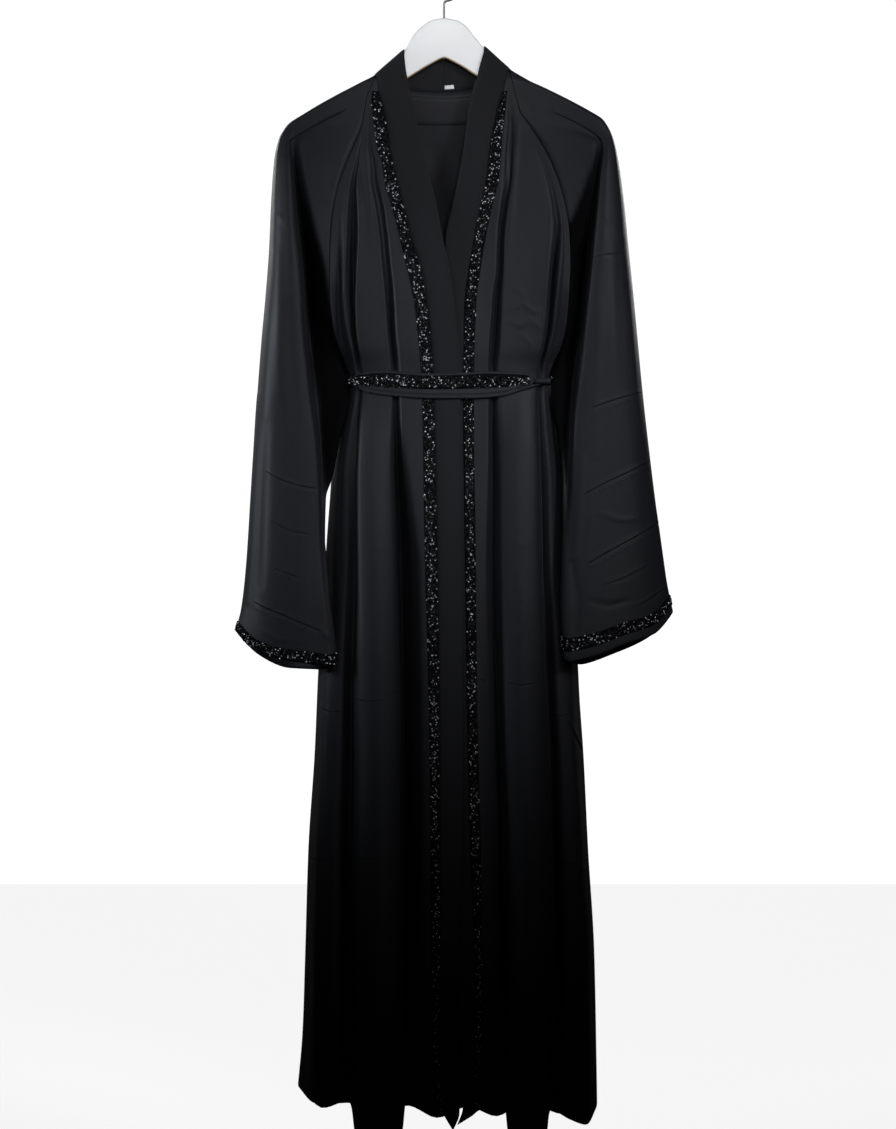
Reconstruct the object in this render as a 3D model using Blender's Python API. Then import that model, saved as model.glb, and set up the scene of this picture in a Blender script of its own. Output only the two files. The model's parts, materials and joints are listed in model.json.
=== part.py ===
# Open-front abaya cloak on a wooden hanger, hollow cloth walls sewn piece to piece.
# Metres, +Z up, the front faces -Y, the origin is the inner crown of the hanger's hook.
# Left and right are as seen from the front.
import math

import bpy
import numpy as np
from mathutils import Vector
from mathutils.geometry import tessellate_polygon

# Driving sizes
GRID = 1.4e-3          # the tables below are in steps of this size
HOOK_COLUMN = 444.0    # step across at the hook
CROWN_DROP = 34.8e-3   # step 0 lies this far below the hook's inner crown
CLOTH = 1.6e-3         # satin wall
BAND = 1.8e-3          # folded band wall
TRIM = 2.2e-3          # beaded trim
BELT = 1.6e-3
SEAM = 0.3e-3          # gap at every seam
WOOD_THICK = 12.0e-3
WIRE = 1.6e-3          # hook wire radius
HOOK_INNER = 18.0e-3   # inner radius of the hook's bow
UNDERARM = 366.0


def spline(knots, values, where):
    """Monotone cubic through the knots, flat outside them."""
    xs = np.asarray(knots, float)
    ys = np.asarray(values, float)
    where = np.atleast_1d(np.asarray(where, float))
    step = np.diff(xs)
    slope = np.diff(ys) / step
    tangent = np.zeros(len(xs))
    tangent[0] = slope[0]
    tangent[-1] = slope[-1]
    for k in range(1, len(xs) - 1):
        if slope[k - 1] * slope[k] > 0:
            wa = 2 * step[k] + step[k - 1]
            wb = step[k] + 2 * step[k - 1]
            tangent[k] = (wa + wb) / (wa / slope[k - 1] + wb / slope[k])
    i = np.clip(np.searchsorted(xs, where) - 1, 0, len(xs) - 2)
    t = np.clip((where - xs[i]) / step[i], 0, 1)
    h00 = 2 * t**3 - 3 * t**2 + 1
    h10 = t**3 - 2 * t**2 + t
    h01 = -2 * t**3 + 3 * t**2
    h11 = t**3 - t**2
    return h00 * ys[i] + h10 * step[i] * tangent[i] + h01 * ys[i + 1] + h11 * step[i] * tangent[i + 1]


def along(table, row):
    """Value of a (row, value) table at a row."""
    return float(spline([p[0] for p in table], [p[1] for p in table], row)[0])


def place(across, depth_mm, row):
    """A point from its step across, its depth in mm (front negative) and its row."""
    return np.array([(across - HOOK_COLUMN) * GRID, depth_mm * 1e-3, -(CROWN_DROP + row * GRID)])


# Rows shared by every piece, so that neighbours meet point to point
ARM_ROWS = [82, 90, 100, 112, 125, 145, 170, 200, 235, 270, 305, 340, UNDERARM]
SKIRT_ROWS = [378, 397, 415, 445, 490, 550, 620, 700, 780, 860, 940, 1010, 1060, 1100]
LOW_ROW = 1010.0       # below it the rows bend to the hem's own line
HEM_ROW = 1100.0
LINE_ROWS = [80, 122, 160, 218, 280, 350, 378, 396, 445, 575, 750, 1100]

SIDES = {
    "left": {
        "sign": -1.0,
        "top": 77.0,
        "band_edge": [(77, 377), (93, 379), (106, 383), (124, 387), (147, 390), (169, 394), (192, 400),
                      (215, 406), (239, 412), (263, 419.5), (283, 424.5), (308, 428), (330, 430.5),
                      (354, 432.6), (378, 433.8), (402, 434.6), (560, 438), (700, 440), (1039, 440.5),
                      (1107, 443)],
        "trim_edge": [(77, 376.3), (82, 374.9), (90, 373), (98, 371.6), (106, 371), (112, 372), (133, 375.5),
                      (154, 378.5), (163, 381.5), (184, 385), (209, 392), (232, 398), (263, 405), (283, 410),
                      (308, 414.5), (330, 417), (354, 419.5), (373, 421), (402, 422), (560, 425), (700, 428.6),
                      (850, 431), (1000, 432), (1107, 436)],
        "seam": [(77, 375.3), (82, 373.2), (90, 369.8), (97, 367.2), (110, 365), (125, 362.6), (145, 355),
                 (158, 349.5), (194, 337), (235, 331), (264, 330), (293, 330), (325, 333), (345, 338),
                 (366, 346), (378, 348.8), (390, 348), (430, 340), (480, 331.5), (500, 330), (540, 327),
                 (600, 323.5), (670, 318.5), (750, 315), (850, 308.5), (950, 305.5), (1040, 302.5),
                 (1100, 298)],
        "hem": [1107, 1106, 1098, 1096, 1130, 1142, 1138, 1100, 1099, 1099, 1086],
        # share of the way from the trim's edge to the seam of each fold line, at LINE_ROWS
        "share": {
            "valley_trim": [.13, .20, .16, .11, .11, .16, .21, .20, .18, .13, .12, .12],
            "valley_mid":  [.26, .40, .25, .23, .24, .30, .35, .33, .28, .24, .22, .21],
            "pleat_in":    [.38, .50, .37, .36, .36, .39, .42, .42, .39, .34, .29, .25],
            "pleat_top":   [.46, .62, .48, .50, .52, .53, .57, .57, .57, .50, .45, .41],
            "pleat_edge":  [.55, .74, .60, .67, .67, .67, .70, .71, .72, .66, .61, .56],
            "valley_deep": [.66, .82, .70, .74, .73, .73, .77, .78, .78, .74, .68, .62],
            "ridge_side":  [.78, .89, .80, .84, .81, .81, .85, .85, .86, .82, .79, .74],
            "edge_side":   [.90, .95, .91, .92, .90, .90, .93, .93, .93, .91, .90, .87],
        },
        # how far each fold line stands behind (+) or before (-) the plain section, mm
        "offset": {
            "valley_trim": [0, 1, 4, 5, 3, 0, 0, 1, 3, 6, 8, 10],
            "valley_mid":  [0, 0, 0, -3, -2, 10, 1, 5, 13, 19, 23, 27],
            "pleat_in":    [0, 0, 0, 4, 5, 2, 0, 0, 0, -2, -2, -2],
            "pleat_top":   [0, 0, -2, -4, -4, -4, -1, -2, -9, -14, -18, -22],
            "pleat_edge":  [0, -1, -2, -4, 0, 2, 0, 0, -5, -8, -9, -10],
            "valley_deep": [0, 0, 0, 7, 12, 9, 1, 3, 10, 20, 24, 28],
            "ridge_side":  [0, 0, -1, -2, -4, -4, -1, 0, 3, 8, 1, -2],
            "edge_side":   [0, 0, 0, 1, 7, 6, 0, 0, 2, 6, -6, -9],
        },
    },
    "right": {
        "sign": 1.0,
        "top": 71.0,
        "band_edge": [(71, 507.6), (80, 505.5), (94, 502), (108, 497.5), (124, 494), (135, 491.6), (153, 489),
                      (169, 487), (184, 485), (203, 481), (217, 477.5), (239, 474), (256, 471), (276, 467.6),
                      (296, 465), (313, 464), (373, 463.4), (402, 463.2), (565, 465), (700, 466.7),
                      (850, 470), (1000, 475.8), (1040, 475), (1102, 471.6)],
        "trim_edge": [(71, 508.2), (79, 508.2), (90, 507.6), (100, 506.5), (122, 504.2), (140, 502),
                      (158, 501), (170, 500), (186, 498), (201, 494), (215, 491), (232, 487.5), (256, 483),
                      (276, 480), (296, 477), (313, 476), (346, 474.8), (402, 474), (560, 475.8), (700, 477),
                      (850, 480.5), (1000, 482), (1040, 482), (1102, 479)],
        "seam": [(71, 509.3), (79, 511.4), (90, 513.6), (100, 516.4), (111, 519), (125, 528.5), (138, 537),
                 (151, 544.5), (164, 551), (199, 563), (235, 569), (264, 570), (290, 569), (325, 566),
                 (350, 560), (366, 552.5), (378, 551), (395, 553), (430, 558), (480, 565), (560, 570),
                 (650, 577), (700, 579.5), (750, 583), (850, 588), (950, 594), (1040, 596), (1100, 597)],
        "hem": [1110, 1104, 1099, 1100, 1131, 1142, 1138, 1107, 1115, 1121, 1106],
        "share": {
            "valley_trim": [.13, .14, .10, .06, .09, .11, .11, .11, .11, .12, .12, .12],
            "valley_mid":  [.28, .30, .20, .12, .18, .20, .22, .22, .22, .21, .21, .21],
            "pleat_in":    [.40, .42, .30, .22, .25, .28, .31, .31, .31, .27, .26, .25],
            "pleat_top":   [.50, .52, .52, .54, .50, .52, .52, .52, .52, .48, .43, .40],
            "pleat_edge":  [.62, .64, .78, .78, .76, .76, .80, .78, .78, .72, .62, .55],
            "valley_deep": [.70, .72, .84, .84, .81, .81, .85, .83, .83, .77, .68, .61],
            "ridge_side":  [.80, .82, .90, .90, .88, .87, .90, .89, .89, .86, .79, .76],
            "edge_side":   [.90, .92, .95, .96, .94, .93, .95, .95, .95, .93, .90, .90],
        },
        "offset": {
            "valley_trim": [0, 0, 0, 2, 2, 4, 0, 1, 3, 6, 8, 10],
            "valley_mid":  [0, 2, 8, 12, 13, 12, 1, 5, 13, 19, 23, 27],
            "pleat_in":    [0, 0, -1, -2, -2, 0, 0, 0, 0, -2, -2, -2],
            "pleat_top":   [0, 0, -1, -2, -3, -2, -1, -2, -9, -14, -18, -22],
            "pleat_edge":  [0, 0, -2, -6, -7, -6, -1, -1, -5, -8, -9, -10],
            "valley_deep": [0, 0, 1, 5, 8, 8, 0, 3, 10, 20, 24, 28],
            "ridge_side":  [0, 0, -1, -2, -2, -3, -1, 0, 4, 8, 1, -2],
            "edge_side":   [0, 0, 0, 0, 3, 4, 0, 0, 2, 6, -6, -9],
        },
    },
}

# Depths in mm: of the front's middle, the back's middle and the raglan seams
FRONT_DEPTH = [(71, 9), (100, 11), (122, 15), (160, 26), (218, 38), (280, 46), (350, 50), (378, 48),
               (396, 50), (445, 54), (575, 62), (750, 70), (1100, 82)]
BACK_DEPTH = [(71, 9), (100, 12), (122, 15), (160, 22), (218, 30), (280, 34), (350, 38), (378, 37),
              (396, 39), (445, 44), (575, 52), (750, 60), (1100, 72)]
SEAM_DEPTH = [(71, 9), (90, 9.3), (122, 12), (160, 20), (218, 31), (280, 34), (320, 28), (345, 16),
              (366, 0), (1100, 0)]
LINES = ["valley_trim", "valley_mid", "pleat_in", "pleat_top", "pleat_edge", "valley_deep",
         "ridge_side", "edge_side"]
FRONT_COLUMNS = [2, 2, 2, 2, 3, 3, 2, 2, 2, 2]
BACK_COLUMNS = 24
RIGHT_BAND_BEHIND = 4.0    # the right band passes this far behind the left one, mm


def seam_depth(row):
    return along(SEAM_DEPTH, row)


def front_depth(side, row):
    depth = along(FRONT_DEPTH, row)
    if side == "right":
        depth -= along([(71, 0), (180, 0), (240, RIGHT_BAND_BEHIND), (1100, RIGHT_BAND_BEHIND)], row)
    return depth


def bend(row, hem):
    """Real height of a row on a line that ends at its own hem height."""
    if row <= LOW_ROW:
        return float(row)
    return LOW_ROW + (row - LOW_ROW) / (HEM_ROW - LOW_ROW) * (hem - LOW_ROW)


def front_row(side, row, columns):
    """Middle surface of one front along a row, from the band's seam to the side."""
    spec = SIDES[side]
    inner = along(spec["band_edge"], row)
    trim = along(spec["trim_edge"], row)
    outer = along(spec["seam"], row)
    depth = front_depth(side, row)
    edge = seam_depth(row)
    room = min(1.0, abs(outer - inner) / 18.0) ** 2
    fullness = along([(71, 0), (300, 0), (378, 1), (1100, 1)], row)
    across = [inner, trim]
    deep = [-depth, -depth]
    for name in LINES:
        share = float(spline(LINE_ROWS, spec["share"][name], row)[0])
        off = float(spline(LINE_ROWS, spec["offset"][name], row)[0])
        x = trim + (outer - trim) * share
        part = min(1.0, abs(x - inner) / max(abs(outer - inner), 1e-6))
        flat = 1 - part**2
        full = math.sqrt(max(0.0, 1 - part**2.6))
        plain = edge + (depth - edge) * (flat + (full - flat) * fullness)
        across.append(x)
        deep.append(-plain + off * room)
    across.append(outer)
    deep.append(-edge)
    heights = [bend(row, hem) for hem in spec["hem"]]
    knots = range(11)
    xs = spline(knots, across, columns)
    ys = spline(knots, deep, columns)
    zs = spline(knots, heights, columns)
    return [place(x, y, z) for x, y, z in zip(xs, ys, zs)]


def split(counts):
    """Column positions, with the given number of steps from each line to the next."""
    columns = [0.0]
    for k, count in enumerate(counts):
        columns += [k + (j + 1) / count for j in range(count)]
    return columns


def rows_of(side):
    return [SIDES[side]["top"]] + ARM_ROWS + SKIRT_ROWS


def front_grid(side):
    columns = split(FRONT_COLUMNS)
    return np.array([front_row(side, row, columns) for row in rows_of(side)])


def side_points(side, back):
    """The seam a front or the back shares with a sleeve, then with the other panel."""
    points = []
    for row in rows_of(side):
        spec = SIDES[side]
        depth = -seam_depth(row) if not back else seam_depth(row)
        points.append(place(along(spec["seam"], row), depth, bend(row, spec["hem"][-1])))
    return np.array(points)


# Back: soft folds as (share across, mm at chest, waist, knee, hem)
BACK_FOLDS = [(0.00, 0, 0, 0, 0), (0.07, 2, 0, 6, 9), (0.14, -5, 0, -14, -20), (0.24, 3, 0, 9, 13),
              (0.34, -3, 0, -12, -19), (0.43, 3, 0, 8, 12), (0.53, -2, 0, -11, -16), (0.62, 3, 0, 9, 13),
              (0.73, -3, 0, -13, -20), (0.84, 3, 0, 8, 12), (0.93, -4, 0, -8, -12), (1.00, 0, 0, 0, 0)]
BACK_FOLD_ROWS = [110, 200, 300, 378, 398, 575, 800, 1100]
BACK_HEM = [(0.0, 1086), (0.08, 1112), (0.16, 1104), (0.26, 1122), (0.36, 1110), (0.46, 1124), (0.56, 1112),
            (0.66, 1122), (0.76, 1106), (0.88, 1118), (1.0, 1106)]
NECK_DIP = 17.0


def back_grid():
    left = side_points("left", True)
    right = side_points("right", True)
    rows_left = rows_of("left")
    rows_right = rows_of("right")
    grid = []
    for i in range(len(left)):
        line = []
        for j in range(BACK_COLUMNS + 1):
            s = j / BACK_COLUMNS
            row = rows_left[i] * (1 - s) + rows_right[i] * s
            middle = 4 * s * (1 - s)
            dip = NECK_DIP * middle**0.8 * max(0.0, 1 - (row - 74) / 140) ** 1.5
            real = row + dip
            x = left[i][0] * (1 - s) + right[i][0] * s
            edge = seam_depth(row)
            depth = along(BACK_DEPTH, real)
            y = edge + (depth - edge) * math.sqrt(max(0.0, 1 - abs(2 * s - 1) ** 2.6))
            if row < 100:
                y = max(y, 9.0)
            amounts = []
            for fold in BACK_FOLDS:
                heights = [0, 0.6 * fold[1], fold[1], fold[2], fold[2], 0.75 * fold[3], fold[3], fold[4]]
                amounts.append(float(spline(BACK_FOLD_ROWS, heights, row)[0]))
            y += float(spline([f[0] for f in BACK_FOLDS], amounts, s)[0])
            hem = float(spline([h[0] for h in BACK_HEM], [h[1] for h in BACK_HEM], s)[0])
            if row > LOW_ROW:
                real = bend(row, hem)
            line.append(np.array([x, y * 1e-3, -(CROWN_DROP + real * GRID)]))
        grid.append(line)
        grid[-1][0] = left[i]
        grid[-1][-1] = right[i]
    return np.array(grid)


# Sleeves: rows are heights at the under-sleeve seam; the cuff line bends to its own heights
SLEEVE_LOW = {"left": [379, 400, 440, 478, 498, 535, 590, 632, 650, 662],
              "right": [379, 400, 440, 480, 520, 560, 600, 631, 645, 655]}
SLEEVE_LINES = ["seam", "wedge", "recess", "fold", "front_in", "front_mid", "front_out", "outer",
                "back_out", "back_mid", "back_in", "seam_back"]
SLEEVE_COLUMNS = [2, 2, 2, 2, 2, 2, 2, 2, 2, 3, 2]
CUFF_FROM = 366.0
SLEEVES = {
    "left": {
        "cuff": 662.0,
        "seam_low": [(366, 344.4), (379, 347), (400, 348.5), (440, 340), (478, 332.6), (498, 326.4), (540, 325.6),
                     (560, 327.6), (600, 331), (632, 335.2), (662, 338.5)],
        "wedge": [(77, 374.9), (82, 371.8), (90, 367), (100, 361), (112, 350), (125, 330), (145, 304),
                  (170, 306), (200, 312), (235, 318.5), (270, 326), (305, 328.2), (340, 331.5), (366, 338.5),
                  (400, 344.5), (440, 337), (478, 330.8), (498, 325.4), (535, 324.6), (560, 326.6), (600, 330),
                  (662, 337.4)],
        "recess": [(77, 374.7), (82, 370.6), (90, 364), (100, 355), (112, 340), (125, 312), (145, 293),
                   (170, 295.5), (200, 298.5), (235, 302), (270, 305), (305, 307), (340, 309.5), (366, 313),
                   (400, 316.5), (440, 320.6), (478, 322.4), (498, 322), (535, 322.4), (560, 324.2), (600, 327.6),
                   (662, 335)],
        "fold": [(77, 374.5), (82, 369.2), (90, 361), (100, 349), (112, 328), (125, 300), (142, 288.5),
                 (170, 290.5), (212, 294), (277, 300), (331, 303), (366, 306.5), (398, 310), (440, 315.5),
                 (460, 317), (500, 319), (540, 320), (600, 324), (662, 331.5)],
        "outer": [(77, 374.2), (82, 363), (90, 347), (100, 328.5), (112, 307.5), (125, 288), (130, 284.3),
                  (140, 279), (160, 274.6), (200, 271.6), (250, 269.6), (300, 265.6), (340, 261.6),
                  (420, 255.6), (500, 250.6), (580, 245.6), (610, 242), (630, 236.8)],
        "hem": [662, 663, 665, 666, 663, 659, 649, 631, 654, 668, 669, 662],
    },
    "right": {
        "cuff": 655.0,
        "seam_low": [(366, 554.1), (379, 553.6), (400, 552.6), (440, 557.4), (480, 562), (520, 562), (560, 561),
                     (600, 560), (632, 560.6), (655, 562.2)],
        "wedge": [(71, 509.7), (79, 513), (90, 517.5), (100, 523.5), (112, 532), (125, 556), (145, 592.6),
                  (170, 591.4), (200, 588), (235, 581.5), (264, 573), (290, 572), (325, 569), (340, 567.8),
                  (366, 560), (400, 556), (440, 560.4), (480, 563.6), (520, 563.2), (560, 562), (600, 561),
                  (662, 563.2)],
        "recess": [(71, 509.9), (79, 514.6), (90, 522), (100, 531), (112, 545), (125, 576), (145, 600.5),
                   (170, 598), (200, 594), (235, 590), (270, 586.5), (305, 583), (340, 579.5), (366, 575.5),
                   (400, 572), (440, 569.4), (480, 567.4), (520, 566), (560, 564.4), (600, 563.4),
                   (662, 565.6)],
        "fold": [(71, 510.1), (79, 516.5), (90, 527), (100, 540), (112, 558), (125, 592), (149, 604.5),
                 (175, 601.5), (226, 596.3), (277, 591.3), (328, 586.3), (366, 582.3), (417, 576),
                 (458, 573.4), (500, 571.4), (540, 569.4), (600, 567.6), (662, 569.8)],
        "outer": [(71, 510.4), (79, 524), (90, 547.5), (100, 568.5), (112, 590.5), (120, 602.5), (125, 606),
                  (130, 609), (140, 613), (160, 617.6), (200, 623.2), (250, 628.2), (300, 633.4),
                  (340, 637.4), (420, 645.4), (500, 654.4), (580, 666.4), (600, 670.4), (620, 675)],
        "hem": [655, 658, 660, 661, 656, 644, 633, 612, 636, 653, 664, 655],
    },
}
# share of the way from the fold, or from the seam, out to the sleeve's edge
SLEEVE_SHARE = {"front_in": 0.22, "front_mid": 0.52, "front_out": 0.82,
                "back_out": 0.80, "back_mid": 0.48, "back_in": 0.16}
SLEEVE_DEPTH_ROWS = [71, 90, 112, 125, 170, 235, 305, 366, 440, 520, 600, 662]
SLEEVE_DEPTH = {
    "wedge":     [-9, -9, -9, -10, -24, -34, -30, -4, -2.6, -2.6, -2.6, -2.6],
    "recess":    [-9, -9, -9, -9.5, -8, 4, 8, 3, 5, -6, -6, -6],
    "fold":      [-9, -9, -9, -10, -26, -37, -42, -44, -45, -48, -57, -62],
    "front_in":  [-9, -9, -9, -10, -27, -41, -46, -48, -49, -52, -58, -63],
    "front_mid": [-9, -9, -9, -9.5, -24, -37, -43, -46, -46, -47, -51, -54],
    "front_out": [-6, -8.3, -8.6, -8.6, -17, -26, -31, -34, -34, -33, -34, -35],
    "outer":     [0, 0, 0, 0, 0, 0, 0, 0, 0, -2, -6, -10],
    "back_out":  [6, 8.3, 8.6, 9, 16, 24, 27, 28, 27, 22, 14, 8],
    "back_mid":  [9, 9, 9, 10, 23, 34, 38, 38, 33, 22, 6, -6],
    "back_in":   [9, 9, 9.5, 11, 22, 33, 36, 28, 14, -8, -28, -38],
}
# the seam under the sleeve drifts forward, so that the cuffs hang before the skirt
UNDER_SEAM_DEPTH = {"left": [(366, 0), (379, -17), (400, -20), (440, -22), (480, -27), (500, -31), (520, -36),
                             (560, -42), (600, -48), (662, -54)],
                    "right": [(366, 0), (379, -17), (400, -20), (440, -24), (480, -31), (520, -38), (560, -44),
                              (600, -49), (662, -54)]}


def sleeve_row(side, row, columns):
    """One ring of a sleeve from its front seam round the outer edge to its back seam."""
    spec = SLEEVES[side]
    upper = row <= UNDERARM
    if upper:
        seam = along(SIDES[side]["seam"], row)
        if row == UNDERARM:
            seam = spec["seam_low"][0][1]
        ends = (-seam_depth(row), seam_depth(row))
    else:
        seam = along(spec["seam_low"], row)
        under = along(UNDER_SEAM_DEPTH[side], row)
        ends = (under, under)
    weight = max(0.0, (row - CUFF_FROM) / (spec["cuff"] - CUFF_FROM))
    weight = weight**1.6
    heights = [row + weight * (hem - spec["cuff"]) for hem in spec["hem"]]
    outer = along(spec["outer"], heights[7])
    fold = along(spec["fold"], row)
    across = [seam, along(spec["wedge"], row), along(spec["recess"], row), fold]
    for name in ["front_in", "front_mid", "front_out"]:
        across.append(fold + (outer - fold) * SLEEVE_SHARE[name])
    across.append(outer)
    for name in ["back_out", "back_mid", "back_in"]:
        share = SLEEVE_SHARE[name]
        if name == "back_out":
            share = along([(71, 0.93), (125, 0.93), (200, share), (662, share)], row)
        across.append(seam + (outer - seam) * share)
    across.append(seam)
    deep = [ends[0]]
    for name in SLEEVE_LINES[1:-1]:
        depth = float(spline(SLEEVE_DEPTH_ROWS, SLEEVE_DEPTH[name], row)[0])
        if name in ("wedge", "recess") and not upper:
            depth += ends[0]
        deep.append(depth)
    deep.append(ends[1])
    knots = range(12)
    xs = spline(knots, across, columns)
    ys = spline(knots, deep, columns)
    zs = spline(knots, heights, columns)
    return [place(x, y, z) for x, y, z in zip(xs, ys, zs)]


def neck_arc(side, t):
    """The neck seam round the shoulder, from the front over the wood to the back."""
    spec = SIDES[side]
    row = spec["top"]
    x = along(spec["seam"], row) + spec["sign"] * 1.2 * math.sin(math.pi * t)
    return place(x, -9.0 * math.cos(math.pi * t), row - 1.2 * math.sin(math.pi * t))


def sleeve_grid(side):
    columns = split(SLEEVE_COLUMNS)
    count = len(columns) - 1
    grid = [[neck_arc(side, j / count) for j in range(count + 1)]]
    for row in ARM_ROWS + SLEEVE_LOW[side]:
        grid.append(sleeve_row(side, row, columns))
    return np.array(grid)


# Bands: the free edge as (row of the seam point, step across, row of the free edge)
BAND_FREE = {
    "left": [(77, 404.5, 56), (82, 405.3, 65), (90, 407.3, 79), (100, 410, 91), (112, 413.6, 107),
             (125, 417, 124), (145, 423, 146), (175, 429, 175), (200, 435, 199), (235, 442, 235),
             (246, 444, 246), (255, 446.5, 255), (296, 453, 296), (338, 457.6, 338), (366, 460.2, 366),
             (402, 460.6, 402), (500, 461.6, 500), (700, 462, 700), (850, 461, 850), (880, 459, 880),
             (943, 457, 943), (983, 454.5, 983), (1007, 456, 1007), (1039, 458.6, 1039), (1086, 459.5, 1086),
             (1100, 453, 1100)],
    "right": [(71, 483.6, 53), (82, 480.3, 64), (90, 477, 78), (100, 472.6, 91), (112, 468.6, 109),
              (125, 466.4, 127), (145, 464, 146), (159, 462, 159), (186, 457, 186), (209, 452, 209),
              (237, 446, 237), (262, 444.4, 262), (300, 443.4, 300), (373, 442.6, 373), (560, 443.6, 560),
              (700, 445, 700), (850, 447, 850), (950, 451, 950), (1020, 457, 1020), (1060, 461.5, 1060),
              (1086, 462.5, 1086), (1100, 457, 1100)],
}
BAND_HEM = {"left": (1107, 1124), "right": (1110, 1119)}
BAND_PEAK = {"left": (404.4, 49.2), "right": (483.8, 46.2)}
BAND_BACK_TOP = (443.0, 58.0)
BAND_COLUMNS = 4
ARC_STEPS = 6
# how far the band's free edge lies before (-) or behind (+) its seam, mm
BAND_LEAN = {"left": [(71, 0), (110, 0), (160, 2), (218, 0), (280, -3.5), (350, -3.0), (1100, -3.0)],
             "right": [(71, 0), (110, 0), (160, 3), (205, 3), (240, 1), (300, 0.5), (1100, 0.5)]}


def band_grid(side, back):
    """Rows run from the hem up the front, round the shoulder and on to the centre back."""
    spec = SIDES[side]
    free = BAND_FREE[side]
    seams = []
    edges = []
    for row in reversed(rows_of(side)):
        seam = place(along(spec["band_edge"], row), -front_depth(side, row), bend(row, spec["hem"][0]))
        x = float(spline([f[0] for f in free], [f[1] for f in free], row)[0])
        z = float(spline([f[0] for f in free], [f[2] for f in free], row)[0])
        if row > LOW_ROW:
            z = bend(row, BAND_HEM[side][1])
        y = -front_depth(side, row) + along(BAND_LEAN[side], row)
        seams.append(seam)
        edges.append(place(x, y, z))
    peak = BAND_PEAK[side]
    for k in range(ARC_STEPS + 1):
        t = k / ARC_STEPS
        seams.append(neck_arc(side, t))
        t = 0.14 + 0.86 * t
        lift = max(0.0, math.sin(math.pi * t)) ** 0.6
        x = (free[0][1] * (1 - lift)) + peak[0] * lift
        z = (free[0][2] * (1 - lift)) + peak[1] * lift
        edges.append(place(x, -9.0 * math.cos(math.pi * t), z))
    half = BACK_COLUMNS // 2
    picks = range(2, half + 1, 2) if side == "left" else range(BACK_COLUMNS - 2, half - 1, -2)
    picks = list(picks)
    for n, j in enumerate(picks):
        t = (n + 1) / len(picks)
        seams.append(back[0][j])
        x = free[0][1] * (1 - t) + BAND_BACK_TOP[0] * t
        z = free[0][2] * (1 - t) + BAND_BACK_TOP[1] * t
        edges.append(place(x, 9.0 + 2.0 * t, z))
    grid = []
    for a, b in zip(seams, edges):
        grid.append([a + (b - a) * j / BAND_COLUMNS for j in range(BAND_COLUMNS + 1)])
    return np.array(grid)


def run_along(grid, axis):
    """Mean direction of the two stretches that meet at each point, and how far it turns there."""
    step = np.diff(grid, axis=axis)
    step /= np.maximum(np.linalg.norm(step, axis=2, keepdims=True), 1e-12)
    if axis == 0:
        before = np.concatenate([step[:1], step], axis=0)
        after = np.concatenate([step, step[-1:]], axis=0)
    else:
        before = np.concatenate([step[:, :1], step], axis=1)
        after = np.concatenate([step, step[:, -1:]], axis=1)
    mean = before + after
    length = np.linalg.norm(mean, axis=2, keepdims=True)
    return mean / np.maximum(length, 1e-12), length[..., 0] / 2


def facing(grid, sign):
    """Unit normals of a grid of middle points, pointing out of the garment."""
    across = run_along(grid, 1)[0]
    down = run_along(grid, 0)[0]
    normal = np.cross(across, down)
    length = np.linalg.norm(normal, axis=2, keepdims=True)
    return sign * normal / np.maximum(length, 1e-12)


def mitre(grid):
    """Longer offsets where the cloth turns sharply, so that the wall keeps its thickness."""
    turn = np.minimum(run_along(grid, 1)[1], run_along(grid, 0)[1])
    return (1.0 / np.clip(turn, 0.62, 1.0))[..., None]


def edge_of(shape, name):
    rows, columns = shape
    if name == "first_column":
        return [(i, 0) for i in range(rows)]
    if name == "last_column":
        return [(i, columns - 1) for i in range(rows)]
    if name == "first_row":
        return [(0, j) for j in range(columns)]
    return [(rows - 1, j) for j in range(columns)]


def shared(pieces):
    """Give sewn edges one normal where their points coincide."""
    sums = {}
    for piece in pieces.values():
        for name in piece["sewn"]:
            for i, j in edge_of(piece["grid"].shape[:2], name):
                key = tuple(np.round(piece["grid"][i, j] * 1e6).astype(int))
                sums[key] = sums.get(key, 0) + piece["normal"][i, j]
    for piece in pieces.values():
        for name in piece["sewn"]:
            for i, j in edge_of(piece["grid"].shape[:2], name):
                key = tuple(np.round(piece["grid"][i, j] * 1e6).astype(int))
                total = sums[key]
                piece["normal"][i, j] = total / max(np.linalg.norm(total), 1e-12)


def settle(pieces):
    """Even normals across a front where it is narrow, beside the neck."""
    for name, piece in pieces.items():
        if "front" not in name:
            continue
        normal = piece["normal"]
        count = normal.shape[1]
        for i in range(6):
            for j in range(1, count - 1):
                t = j / (count - 1)
                mean = normal[i, 0] * (1 - t) + normal[i, -1] * t
                normal[i, j] = mean / np.linalg.norm(mean)


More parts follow.
